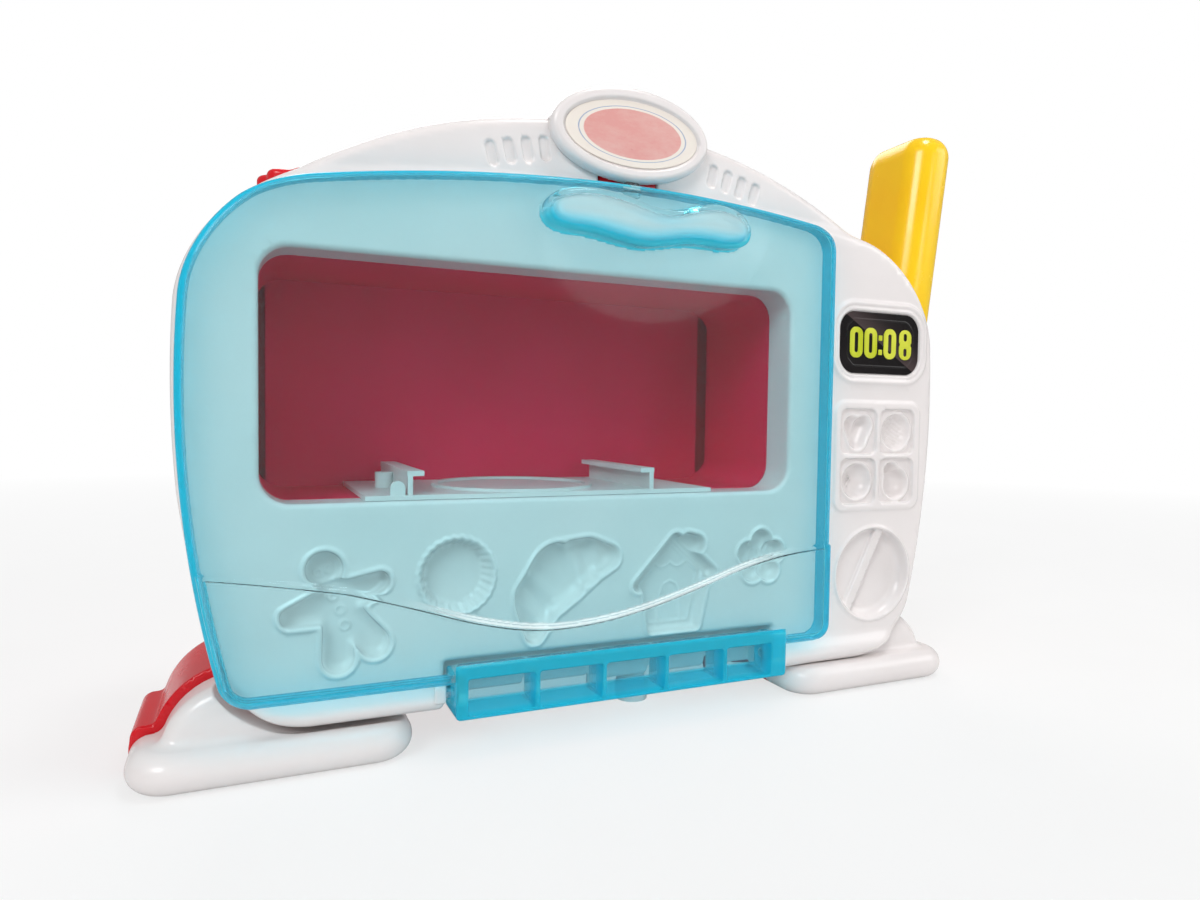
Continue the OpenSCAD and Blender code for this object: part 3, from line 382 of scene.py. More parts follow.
def metal():
    """Plated steel, faintly brushed."""
    m = Nodes("plated_steel")
    brushed = m.noise(400, 4, 0.6, (1, 12, 1, 0, 0, 0.3))
    grey = m.ramp(brushed, (0.3, srgb(176, 178, 182)), (0.7, srgb(206, 207, 210)))
    m.link(grey, m.shader.inputs["Base Color"])
    m.link(m.range(brushed, 0.22, 0.42), m.shader.inputs["Roughness"])
    m.bump(brushed, 0.15, 0.00003)
    m.set(Metallic=1.0)
    return m.material


STEEL = metal()


def clear_blue():
    """Tinted see-through plastic, deeper where it is seen edge on, finely scratched; lamps shine through."""
    m = Nodes("clear_blue_plastic")
    mottle = m.noise(22, 3, 0.5)
    pale = m.ramp(mottle, (0.3, (0.55, 0.735, 0.76, 1)), (0.7, (0.58, 0.745, 0.77, 1)))
    tint, milk, painted_highlight = (m.add("ShaderNodeAttribute", attribute_name=k).outputs["Fac"]
                        for k in ("deep_tint", "milk", "painted_highlight"))
    tinted = m.mix(tint, pale, (0.03, 0.60, 0.78, 1))
    # Painted highlight: the third attribute turns the plastic white and cloudy in a thin line along the
    # wave's edge.
    m.link(m.mix(painted_highlight, tinted, (0.95, 0.98, 0.98, 1)), m.shader.inputs["Base Color"])
    cloud = m.math("MULTIPLY", m.math("MAXIMUM", milk, painted_highlight), 0.5)
    cloud = m.math("ADD", m.math("MULTIPLY", tint, 0.42), cloud)
    m.link(m.math("SUBTRACT", 0.985, cloud), m.shader.inputs["Transmission Weight"])
    scratch = m.noise(260, 6, 0.75, (1, 0.2, 0.05, 0.3, 0.9, 0.2))
    m.link(m.range(scratch, 0.03, 0.10, 0.45, 0.75), m.shader.inputs["Roughness"])
    m.bump(m.noise(90, 2, 0.5), 0.03, 0.0002)
    m.set(IOR=1.22)
    through = m.add("ShaderNodeBsdfTransparent")
    through.inputs["Color"].default_value = (0.755, 0.865, 0.88, 1)
    m.instead(m.add("ShaderNodeLightPath").outputs["Is Shadow Ray"], through)
    return m.material


CLEAR = clear_blue()


# ---------------------------------------------------------------- the body's forms
def body_line(x, z, drop=0.0):
    """The body's outline seen from the front, its underside lowered by drop."""
    side = np.hypot(np.abs(x) + 255, z - 130) - 413
    top = np.hypot(x, z + 529.5) - 740
    return rmax(rmax(side, top, 38), 13.5 - drop - z, 25)


def arch_line(x, z):
    """Distance to the arch's crest."""
    return np.hypot(x, z - ARCH_Z) - ARCH_R


def front_body(x, y, z):
    """The white front: rounder low down, rolled forward at its lower edge, drawn in at the lower left."""
    inset = 0.25 * np.maximum(y - 4, 0)
    low = np.clip((40 - z) / 18, 0, 1)
    r = 4 + 2.5 * low * low * (3 - 2 * low)
    roll = 3.0 * np.maximum(1 - ((z - 18.5) / 7.5) ** 2, 0) ** 2
    tuck = np.where(x < 0, 2.2 * np.clip((95 - z) / 50, 0, 1), 0)
    return rmax(body_line(x - 1.3, z, 1.2 + 0.7 * inset) + inset + tuck, -y - roll, r)


def front_arch(x, y, z):
    """The arch over the body, fuller at its left end."""
    t = np.clip((-x - 10) / 85, 0, 1)
    d = np.maximum(arch_line(x, z) - 0.8 - 2.8 * t * t * (3 - 2 * t), 195 - z)
    return rmax(d + 0.25 * np.maximum(y - 5.4, 0), 1.4 - y, 4)


def rear_form(x, y, z):
    """The red back, which narrows to the rear."""
    inset = 8 + 0.1504 * (y - SPLIT)
    body = rmax(body_line(x, z, 0.7 * inset) + inset, y - BACK, 8)
    arch = rmax(np.maximum(arch_line(x, z) + inset, 180 - z), y - BACK, 8)
    return np.maximum(smin(body, arch, 2.5), y - BACK)


def deep(p, y):
    """Where a point seen on the body's face at p lies when it is y behind it."""
    k = (y - EYE[1]) / -EYE[1]
    return (EYE[0] + (p[0] - EYE[0]) * k, EYE[2] + (p[1] - EYE[2]) * k)


# Outlines of the baking moulds, and how deep their floors lie
FLOOR, FLOWER_FLOOR = 4.9, 4.4
FLOWER = (63.6, 62.6)


def figure(x, z):
    """A figure with arms and legs spread."""
    u, w = turned(x, z, (-106, 54.3), 20)
    d = least(circle(u, w, (0, 15), 6.2), taper(u, w, (0, 5), 6.4, (0, -6), 7.4))
    for s in (-1, 1):
        d = smin(d, taper(u, w, (s * 4, 3), 6, (s * 15.3, 4.1), 3.5), 1.5)
        d = smin(d, taper(u, w, (s * 3, -6), 5, (s * 6.3, -15.3), 5.4), 1.0)
    return d


def path(x, z, points, y):
    """Distance to a line through points, which lie y behind the face."""
    points = [deep(p, y) for p in points]
    return least(*[limb(x, z, a, b, 0.0) for a, b in zip(points, points[1:])])


CREASES = ([(-25, 72.9), (-16.4, 55.7)], [(-12.9, 71.4), (-11.1, 60.7)], [(-38.6, 61.4), (-27.9, 50.7)],
           [(-42.6, 52.9), (-32.9, 42)])


def crease(x, z, y=0.0):
    """Distance to the lines where the crescent's segments meet."""
    return least(*[path(x, z, line, y) for line in CREASES])


def croissant(x, z):
    """A crescent roll, nicked at its creases."""
    return 0.9 * np.exp(-(crease(x, z) / 1.5) ** 2) + least(
        taper(x, z, (-7.2, 66.8), 4.8, (-15.7, 66.2), 8.6),
        taper(x, z, (-15.7, 66.2), 8.6, (-26.7, 61.6), 12),
        taper(x, z, (-26.7, 61.6), 12, (-35, 52.9), 9.6),
        taper(x, z, (-35, 52.9), 9.6, (-36.9, 39.6), 3.7))


def house(x, z):
    """A house with a chimney."""
    return least(
        taper(x, z, (22.9, 71.6), 3, (6.4, 54.4), 2.4), taper(x, z, (22.9, 71.6), 3, (38.8, 58), 2.6),
        taper(x, z, (28.4, 71.4), 3.2, (32, 69.6), 4), taper(x, z, (12.6, 37), 2, (10, 54), 2),
        taper(x, z, (31.9, 37), 2, (36.4, 58), 2), taper(x, z, (12.6, 37), 2, (31.9, 37), 2),
        poly(x, z, [(12.6, 37), (31.9, 37), (36.4, 58), (22.9, 71.6), (7.4, 54.4)]))


def flower(x, z):
    """A flower with five petals."""
    d = circle(x, z, FLOWER, 5)
    for k in range(5):
        a = math.radians(18 + 72 * k)
        d = least(d, circle(x, z, (FLOWER[0] + 6.9 * math.cos(a), FLOWER[1] + 6.9 * math.sin(a)), 4.7))
    return d


def tart(x, z):
    """A round tart with a fluted edge."""
    u, w = x + 66.1, z - 63.3
    return np.hypot(u, w) - 13 + 0.24 * np.cos(28 * np.arctan2(w, u))


def bead(f, d, y, at, r, k=0.8):
    """A round ridge along the line where d is at."""
    return smin(f, np.hypot(d - at, y) - r, k)


def add_moulds(g):
    """The five baking moulds, and the relief on their floors."""
    s, x, y, z = g.window(-136, 80, 28, 86)
    f = g.f[s]
    rolls = FLOOR - 0.2 + 1.3 * (1 - np.exp(-(crease(x, z, FLOOR) / 3.2) ** 2))
    shapes = [(figure(x, z), FLOOR, 2.6, 0.12), (tart(x, z), 5.6, 1.0, 0.42),
              (croissant(x, z), rolls, 3.4, 0.2), (house(x, z), FLOOR, 1.6, 0.14),
              (flower(x, z), FLOWER_FLOOR, 2.2, 0.14)]
    for d, depth, r, draft in shapes:
        f = bead(f, d, y - 0.1, 0.75, 0.85)
        f = rmax(f, -rmax(d + draft * y, y - depth, r), 0.45)
    rings = [((-113.4, 67.6), 1.4), ((-109.9, 69), 1.4), ((-108.6, 59.6), 1.6), ((-106.1, 54.6), 1.6),
             ((-104.6, 49.3), 1.6)]
    for c, r in rings:
        f = bead(f, circle(x, z, deep(c, FLOOR), r), y - FLOOR, 0, 0.42, 0.4)
    door = [(15, 38), (15.4, 50), (17.2, 54.4), (20, 55.7), (22.8, 54.4), (24.6, 50), (25, 38)]
    icing = [(5.5 + 21.5 * t / 12, 63.2 + 0.2 * t / 12 - 2.0 * abs(math.sin(math.pi * t / 4)))
             for t in range(13)]
    roof = [(21.4, 71.4), (35.7, 57.9)]
    for line in (door, icing, roof):
        f = bead(f, path(x, z, line, FLOOR), y - FLOOR, 0, 0.4, 0.5)
    c, rib_y = deep(FLOWER, FLOWER_FLOOR), 4.6
    for k in range(5):
        a = math.radians(54 + 72 * k)
        rib = limb(x, z, c, (c[0] + 5 * math.cos(a), c[1] + 5 * math.sin(a)), 0)
        f = bead(f, rib, y - rib_y, 0, 0.6, 0.8)
    f = smin(f, np.sqrt((x - c[0]) ** 2 + (y - rib_y) ** 2 + (z - c[1]) ** 2) - 1.7, 0.8)
    g.f[s] = f


def add_timer_ring(g):
    s, x, y, z = g.window(98, 156, 134, 177)
    f = g.f[s]
    d = pad(x, z, TIMER, 46, 28, 8.4)
    f = smin(f, rmax(d - 4.8, -0.35 - y, 0.5), 0.8)
    f = bead(f, d, y + 0.25, 3.3, 0.95, 0.7)
    f = bead(f, d, y + 0.05, 0.95, 0.85, 0.5)
    g.f[s] = rmax(f, -np.maximum(d, y - 0.4), 0.25)


def add_small_moulds(g):
    """A raised block with four small moulds: a heart, a waffled disc, a swirl and a drop."""
    s, x, y, z = g.window(98, 156, 77, 133)
    f = g.f[s]
    f = smin(f, rmax(pad(x, z, (PANEL_X, BLOCK_Z), 49, 49, 5.6), -0.8 - y, 0.8), 1.2)
    for i in range(4):
        cx, cz = PANEL_X + (i % 2 - 0.5) * BLOCK_STEP, BLOCK_Z + (0.5 - i // 2) * BLOCK_STEP
        u, w = x - cx, z - cz
        f = rmax(f, -rmax(pad(u, w, (0, 0), 20, 20.4, 3.4), y - 1.2, 0.6), 0.5)
        if i == 0:
            d = smin(limb(u, w, (-3.2, 2.6), (0, -3.2), 4.1), limb(u, w, (3.2, 2.6), (0, -3.2), 4.1), 1.6)
            m = rmax(d + 0.35 * (y - 1), y - 6.2, 3.6)
        elif i == 1:
            d = np.hypot(u, w) - 7.8 + 0.18 * np.cos(13 * np.arctan2(w, u))
            dimple = 0.3 * np.cos(2.7 * u + 0.4 * w) * np.cos(2.7 * w - 0.4 * u)
            m = np.sqrt(u * u + w * w + 1.5 * (y + 0.6) ** 2) - 8.1 + dimple * np.clip((y - 2) / 2, 0, 1)
        elif i == 2:
            d = np.hypot(u, w) - 7.5
            m = np.sqrt(u * u + w * w + 1.4 * (y + 0.4) ** 2) - 7.9
        else:
            d = smin(circle(u, w, (0.6, -1.6), 6.6), circle(u, w, (-2.4, 4.3), 3.6), 0.8)
            m = rmax(d + 0.3 * (y - 1), y - 6.2, 3.2)
        f = bead(f, d, y - 1.2, 0.9, 0.95, 1.0)
        f = rmax(f, -np.maximum(m, y - 6.6), 0.7)
        if i == 2:
            r = np.hypot(u + 2.6, w - 0.6)
            turn = np.arctan2(w - 0.6, u + 2.6)
            f = bead(f, r - 2.6 - 0.5 * np.cos(5 * turn), y - 5.6, 0, 0.5, 0.6)
            f = bead(f, r - 0.9, y - 6.1, 0, 0.4, 0.5)
    g.f[s] = f


def add_round_mould(g):
    """A round bowl with a slanting bar and a shelf across it."""
    s, x, y, z = g.window(98, 152, 25, 76)
    f = g.f[s]
    c = (PANEL_X - 1, 51.6)
    d = circle(x, z, c, 20.4)
    f = bead(f, d, y - 0.1, 0.5, 1.0, 1.0)
    u, w = turned(x, z, c, -27)
    steep = 0.30 - 0.16 * np.clip((x - c[0] + z - c[1]) / 20, -1, 1)
    bowl = rmax(d + steep * y, y - np.clip(5.4 + 0.08 * (z - c[1]), 4.4, 6.6), 3.0)
    shelf = rmax(u + 6.0, 3.4 - y, 0.8)
    bar = rmax(np.abs(u + 4.1) - 2.3, 1.5 - y, 0.7)
    f = rmax(f, -bowl, 0.6)
    f = smin(f, rmax(smin(shelf, bar, 0.8), np.maximum(d + 0.5, y - 8), 0.3), 1.0)
    g.f[s] = f


def vents(x, z):
    """Two rows of four slots along the arch."""
    slots = []
    for side, first in ((-1, 36), (1, 40)):
        for i in range(4):
            a = side * (first + 7.2 * i) / ARCH_R
            u, w = turned(x, z, (0, ARCH_Z), -math.degrees(a))
            slots.append(pad(u, w, (0, ARCH_R - 10.5), 3.6, 9.0, 1.75))
    return least(*slots)


SHELL_POSTS = [(-60, 184), (10, 184), (131, 134), (-124, 44), (104, 38)]
LINER_POSTS = [(OPEN_X + dx, z) for dx in (-75, 75) for z in (83.0, 182.2)]


def make_front():
    """The white front shell: its outer form, then hollow, then posts, lugs and bosses behind it."""
    g = Grid((-160.5, -4.2, 11.4), (160.5, 21.6, 235.2), 0.6)
    x, y, z = g.x, g.y, g.z
    g.f = smin(front_body(x, y, z), front_arch(x, y, z), 2.0)
    op = pad(x, z, (OPEN_X, OPEN_Z), OPEN_W, OPEN_H, 10)
    g.f = rmax(g.f, -op, 1.8)
    add_moulds(g)
    add_timer_ring(g)
    add_small_moulds(g)
    add_round_mould(g)
    s, wx, wy, wz = g.window(-70, 75, 204, 236)
    f = rmax(g.f[s], -rmax(vents(wx, wz), wy - 2.6, 0.6), 0.6)
    g.f[s] = rmax(f, -np.maximum(np.abs(wx) - 12.6, np.abs(wz - 210.6) - 2.6), 0.4)
    recess = rmax(rmax(np.abs(x) - RAIL_HALF, z - 32.6, 1.2), y - 15.5, 2.0)
    g.f = rmax(g.f, -recess, 2.2)
    g.f = np.maximum(g.f, -(g.f + WALL))
    g.f = np.maximum(g.f, y - 20)
    g.f = np.maximum(g.f, -np.maximum(op - 3.6, REVEAL - y))
    for p in LINER_POSTS + SHELL_POSTS:
        s, wx, wy, wz = g.around(p, 6)
        back = REVEAL if p in LINER_POSTS else 20
        d = circle(wx, wz, p, 0)
        g.fit(s, most(d - 3.4, wy - back, 1.5 - wy), np.maximum(d - PILOT, 6 - wy))
    for side in (-1, 1):
        at = side * (RAIL_HALF + 2)
        s, wx, wy, wz = g.window(at - 3.2, at + 3.2, 14, 32)
        d = circle(wy, wz, HINGE, 0)
        lug = rmax(smin(d - 3.8, pad(wy, wz, (0.6, 22), 3.2, 7.6, 0.5), 0.5), wy - 4, 0.1)
        g.fit(s, np.maximum(np.abs(wx - at) - 2, lug), np.maximum(d - 2.06, np.abs(wx) - RAIL_HALF - 3))
        at = side * FOOT_SCREW_X
        s, wx, wy, wz = g.window(at - 5, at + 5, 12, 27)
        d = np.hypot(wx - at, wy - 12)
        g.fit(s, most(d - 3.6, wz - 25.5, 14.5 - wz), np.maximum(d - PILOT, wz - 24))
    s, wx, wy, wz = g.window(-66, -2, 84, 96)
    g.f[s] = np.maximum(g.f[s], -(np.hypot(wx - LIFT[0], wy - LIFT[1]) - 30.4))
    return finished(surface("front_panel_shell", g, 0.02), "body", "white_shell", WHITE, "front_shell")


def make_rear():
    """The red back shell, with the dial's seat, posts and bosses, the speaker's holes, hatch and slot."""
    g = Grid((-152, 18.8, 13), (152, 79, 226), 0.8)
    x, y, z = g.x, g.y, g.z
    dial = np.hypot(x - DIAL[0], y - DIAL[1])
    form = rmax(rear_form(x, y, z), -np.maximum(dial - 22, 194.5 - z), 1.0)
    g.f = most(form, -(form + WALL), SPLIT - y)
    seat = most(dial - 17.7, z - 195, 186 - z)
    g.f = np.maximum(np.minimum(g.f, seat), -np.maximum(dial - 4.56, z - 230))
    inside = form + 0.3
    for p in SHELL_POSTS:
        s, wx, wy, wz = g.around(p, 7)
        d = circle(wx, wz, p, 0)
        g.fit(s, most(d - 4.4, SPLIT - wy, inside[s]), np.minimum(np.maximum(d - 3.1, 32 - wy), d - 1.7))
    s, wx, wy, wz = g.around(PIVOT, 10)
    d = circle(wx, wz, PIVOT, 0)
    g.fit(s, most(d - 5.5, 44.15 - wy, inside[s]), np.maximum(d - 2.56, wy - 66))
    speaker = (112, 68)
    s, wx, wy, wz = g.around(speaker, 18)
    d = circle(wx, wz, speaker, 0)
    f = np.minimum(g.f[s], most(np.abs(d - 14.95) - 0.75, 72 - wy, inside[s]))
    holes = d - 1.4
    for k in range(6):
        a = math.radians(60 * k)
        hole = (speaker[0] + 8 * math.cos(a), speaker[1] + 8 * math.sin(a))
        holes = np.minimum(holes, circle(wx, wz, hole, 1.4))
    g.f[s] = rmax(f, -np.maximum(holes, 72 - wy), 0.3)
    for bx, by in ((-FOOT_SCREW_X, 45), (FOOT_SCREW_X, 45), (17.2, 26.8)):
        s, wx, wy, wz = g.window(bx - 5, bx + 5, 12, 31)
        d = np.hypot(wx - bx, wy - by)
        g.fit(s, most(d - 3.6, wz - 29.5, form[s] + 0.3), np.maximum(d - PILOT, wz - 28))
    hatch = np.maximum(pad(x, z, (-82, 62), 67.8, 41.3, 0.3), 74.8 - y)
    g.f = rmax(g.f, -hatch, 0.3)
    slot = most(130 - x, np.abs(y - LEVER_Y) - 5, np.abs(z - 94.5) - 28.5)
    g.f = rmax(g.f, -slot, 0.4)
    return finished(surface("red_back_shell", g, 0.02), "body", "red_shell", RED, "rear_shell")


# ---------------------------------------------------------------- the door
def door_line(x, z):
    """The door's outline."""
    left = np.hypot(x - 225, z - 127) - 380
    top = np.hypot(x, z + 421.9) - 632
    right = x - 94
    low = 26.3 - z
    return rmax(rmax(left, top, 34), rmax(rmax(right, top, 12), low, 8), 8)


WAVE = [(-165, 71.8), (-148.8, 71.4), (-107.1, 64.1), (-99.7, 62), (-80.5, 56.1), (-60.3, 49.2),
        (-38.5, 44.7), (-17.4, 45.1), (4.6, 48.7), (28.3, 55.4), (52.9, 63.4), (78.2, 67.8), (110, 68.8)]


def wave_edge(x):
    """Height of the wave's line."""
    line = WAVE
    for _ in range(3):
        line = line[:1] + cut_corners(zip(line, line[1:])) + line[-1:]
    return np.interp(x, *zip(*line))


HANDLE = [(-40, 195), (-36, 199.7), (-28, 202), (-18, 202.6), (-6, 200.8), (2, 198.5), (8, 197.8), (15, 199),
          (24, 201.8), (31.5, 202.6), (39.5, 200.9), (44.5, 197), (45.5, 193), (44.5, 189.2), (41, 186.9),
          (34, 186), (25, 186.6), (16, 186.2), (6, 184.2), (-2, 183.3), (-12, 184.6), (-22, 186.4),
          (-33, 186.6), (-38.6, 189)]


def handle(x, z):
    """The wavy handle's outline."""
    points = HANDLE
    for _ in range(2):
        points = cut_corners(zip(points, points[1:] + points[:1]))
    return poly(x, z, points)


def mark_door(ob):
    """Stores at each point how deep the plastic's colour looks (most in the rim, the handle's sides and the
    strip), how milky the handle is, and a white highlight painted along the wave's edge."""
    co = np.zeros(len(ob.data.vertices) * 3)
    ob.data.vertices.foreach_get("co", co)
    x, y, z = (co.reshape(-1, 3) * 1000 + MID).T
    deep_tint = soft(door_line(x, z), -3.0, -1.9)
    near = (np.abs(x) < 50) & (z > 178) & (z < 207) & (y < -9.6)
    p = np.where(near, handle(np.where(near, x, 0), np.where(near, z, 190)), -9.0)
    low = soft(193 - z, -5, 3)
    under = np.maximum(soft(p, -3.2, -1.6) * (0.12 + 0.88 * low), soft(p, -8.5, -1.5) * low * 0.8)
    deep_tint = np.where(near, under, deep_tint)
    latch = (np.abs(x) < 3.5) & (z > 206.6)
    deep_tint = np.where(latch, 0.12, deep_tint)
    strip = (np.abs(x) < 69.3) & (z < 34.3) & (z > 14.7) & ((y < -9.5) | (z < 30.2))
    edge = np.maximum(soft(pad(x, z, *RAIL), -2.0, -1.2), 0.30 + 0.7 * soft(-y, -3, 11.5))
    deep_tint = np.where(strip, edge, deep_tint)
    milk = np.where(near & (y < -14.5), 1 - soft(p, -4.5, -2.0), 0)
    # Painted highlight: two thin lines on the wave's rounded edge, on the door's front, fading out towards
    # both ends. The material paints them white.
    up = z - wave_edge(x)
    step = soft(-np.abs(up + 0.5), -0.75, -0.35) * (y < -10.3)
    line = np.maximum(step, soft(-np.abs(up - 0.35), -0.6, -0.25) * (y < -8.9))
    painted_highlight = line * soft(-np.abs(x + 6), -88, -52)
    for name, value in (("deep_tint", deep_tint), ("milk", milk), ("painted_highlight", painted_highlight)):
        ob.data.attributes.new(name, "FLOAT", "POINT").data.foreach_set("value", value.astype(F))
    return ob


def make_door():
    """The door's hollow panel with its wave and handle, then the solid hinge rail, and the latch's tongue."""
    g = Grid((-156.2, -18.9, 13.8), (95.4, 6.2, 213.2), 0.6)
    x, y, z = g.x, g.y, g.z
    line = door_line(x, z)
    f = rmax(line, FRONT - y, 3.2)
    step = rmax(rmax(line + 1.5, z - wave_edge(x), 1.0), FRONT - WAVE_OUT - y, 1.3)
    f = smin(f, step, 0.7)
    s, wx, wy, wz = g.window(-46, 51, 178, 207)
    bar = rmax(handle(wx, wz), FRONT - GRIP_OUT - wy, 3.2)
    f[s] = smin(f[s], bar, 1.2)
    f = np.maximum(f, -(f + WALL))
    f = np.maximum(f, y + GAP)
    s, wx, wy, wz = g.window(-72, 72, 13, 37)
    rail = rmax(pad(wx, wz, *RAIL), np.maximum(FRONT - RAIL_OUT - wy, wy - 5), 0.9)
    rail = np.maximum(rail, np.minimum(wy + 9.2, wz - 30))
    w = smin(f[s], rail, 0.8)
    for i in range(5):
        left = 4.2 - 69 + 26.3 * i
        right = min(left + 24.4, 61.5)
        pocket = pad(wx, wz, ((left + right) / 2, 22.85), right - left, 12.9, 0.7)
        w = rmax(w, -rmax(pocket, wy - 3.5, 0.8), 0.35)
    pins = np.maximum(circle(wy, wz, HINGE, 2.06), 66 - np.abs(wx))
    f[s] = np.maximum(w, -pins)
    tab = most(pad(x, z, (0, 207.1), 6.4, 6.0, 1), -3 - y, y + GAP)
    tongue = most(np.abs(x) - 3.2, np.abs(z - 209.35) - 0.75, -2 - y, y - 4)
    g.f = least(f, tab, tongue)
    return finished(mark_door(surface("door_panel", g, 0.0)), "door", "clear_blue", CLEAR, "door")


# ---------------------------------------------------------------- feet
def foot_slab(x, y, z):
    """A foot's slab with its full round edge."""
    q = pad(x, y, (125.6, 34.1), 90.3, 79.15, 14) + SLAB
    return np.where(q > 0, np.hypot(q, z - SLAB), np.abs(z - SLAB)) - SLAB


def foot_mound(x, z, radius, inner, top):
    """The round rise on a foot, level from its middle to the inner end."""
    return least(circle(x, z, (138, 8), radius), most(inner - x, x - 138, z - top))


def foot_pair(g, screw_y, body, name, slot, material, replaced):
    """A foot on each side, with its screw's hole, cut to fit under the body."""
    d = np.hypot(g.x - FOOT_SCREW_X, g.y - screw_y)
    hole = np.minimum(d - PILOT, np.maximum(d - 3.2, g.z - 7))
    g.f = rmax(np.maximum(g.f, -hole), -(body(g.x, g.y, g.z) - GAP), 0.3)
    for side, mirror in (("right", False), ("left", True)):
        ob = surface(f"{side}_{name}", g, 0.01, mirror)
        finished(ob, "body", slot, material, f"{side}_{replaced}")


def make_feet():
    g = Grid((78, -7, -1), (174, 20.5, 38), 0.5)
    x, y, z = g.x, g.y, g.z
    mound = rmax(rmax(foot_mound(x, z, 23.5, 88, 20), 4.2 - y, 5), 82 - x, 3)
    f = smin(foot_slab(x, y, z), np.maximum(mound, -z), 3.6)
    g.f = most(f, -z, y - 20)
    foot_pair(g, 12, front_body, "white_foot", "white_shell", WHITE, "foot_front")
    g = Grid((78, 19.5, -1), (174, 75, 42), 0.6)
    x, y, z = g.x, g.y, g.z
    flange = rmax(pad(x, z, (164.6, 8), 12, 16, 4), y - 59.7, 3)
    f = smin(foot_slab(x, y, z), rmax(foot_mound(x, z, 26.5, 90, 22), y - 67, 4), 3)
    f = smin(f, flange, 2.0)
    g.f = most(f, -z, SPLIT - y, x - FOOT_REACH)
    foot_pair(g, 45, rear_form, "red_foot", "red_shell", RED, "foot_rear")


# ---------------------------------------------------------------- lever, dial and plaque
def up_grip(k):
    """The point k up the grip from its elbow."""
    return (ELBOW[0] + k * math.sin(LEAN), ELBOW[1] + k * math.cos(LEAN))


def make_grip():
    """The hollow yellow grip, with the slot and the screws of the arm inside it."""
    foot_z = 100
    g = Grid((146, 20.5, 98), (196, 66.5, 268), 0.6)
    x, y, z = g.x, g.y, g.z
    foot_x = 176.5 - 115 * math.tan(LEAN)
    length = 166 / math.cos(LEAN)
    dx, dz = x - foot_x, z - foot_z
    across = dx * math.cos(LEAN) - dz * math.sin(LEAN)
    along = dx * math.sin(LEAN) + dz * math.cos(LEAN)
    core = pad(across, y, (0, 43.2), 26, 42.4, 12)
    r = 12.0 - np.clip(across, -13, 13) / 13
    f = rmax(core, along - length + 0.25, r)
    f = rmax(f, z - 264.9, 2.5)
    g.f = np.maximum(f, -(f + WALL))
    beside = np.abs(y - LEVER_Y) - 4.15
    for k in (14, 38):
        p = up_grip(k)
        s, wx, wy, wz = g.around(p, 7)
        d = circle(wx, wz, p, 0)
        g.fit(s, most(d - 4.4, core[s[0], :, s[2]] + 0.2, -beside),
              np.minimum(np.maximum(d - PILOT, 28 - wy), np.maximum(d - 3.1, 52 - wy)))
    arm = least(limb(x, z, ELBOW, up_grip(45), 5.3), limb(x, z, PIVOT, ELBOW, 5.3))
    g.f = rmax(np.maximum(g.f, -np.maximum(arm, beside)), foot_z - z, 0.6)
    return finished(surface("lever_paddle", g, 0.01), "lever", "yellow_grip", YELLOW, "lever_grip")


def make_dial():
    """The red dial: ten lobes, a ring and a pointer on its face, and its shaft."""
    g = Grid((-133, 20, 184), (-87, 66, 210), 0.4)
    x, y, z = g.x, g.y, g.z
    u, w = x - DIAL[0], y - DIAL[1]
    r = np.hypot(u, w)
    star = r - 18.2
    for k in range(10):
        a = math.radians(36 * k)
        star = smin(star, circle(u, w, (16.8 * math.cos(a), 16.8 * math.sin(a)), 4.2), 3.0)
    top = z - 208.4 - 0.9 * np.cos(np.clip(r / 21, 0, 1) * math.pi) * 0.5 + 0.45
    f = rmax(rmax(star, top, 2.0), 195.15 - z, 0.8)
    f = bead(f, r - 11.5, z - 208.1, 0, 0.6, 0.8)
    pointer = limb(u, w, (0, -3), (0, -14.5), 1.1)
    f = smin(f, rmax(pointer, np.maximum(z - 208.7, 206 - z), 0.6), 0.6)
    shaft = most(r - 4.5, 185.4 - z, z - 198)
    g.f = np.maximum(np.minimum(f, shaft), -np.maximum(r - PILOT, z - 198))
    return finished(surface("lobed_dial", g, 0.0), "dial", "red_shell", RED, "turning_dial")


def oval(x, z, inset=0.0):
    """The plaque's outline."""
    n = 72
    turns = [2 * math.pi * i / n for i in range(n)]
    w, h = (half - inset for half in PLAQUE_HALF)
    return poly(x, z, [(w * math.cos(a), PLAQUE_Z + h * math.sin(a)) for a in turns])


def make_plaque():
    """The oval plaque, dished for its label and cut to fit over the arch's crest."""
    g = Grid((-34, -4.4, 209.5), (34, 10.6, 246.5), 0.4)
    x, y, z = g.x, g.y, g.z
    d = oval(x, z)
    f = rmax(rmax(d, -3.6 - y, 2.4), y - 10, 1.0)
    f = rmax(f, -rmax(d + 4.4, y + 2.3, 0.9), 0.9)
    f = np.maximum(f, -np.maximum(arch_line(x, z) - GAP, 1.25 - y))
    g.f = np.maximum(f, -np.maximum(z - 210.5, -GAP - y))
    finished(surface("oval_plaque", g, 0.0), "body", "white_shell", WHITE, "plaque")


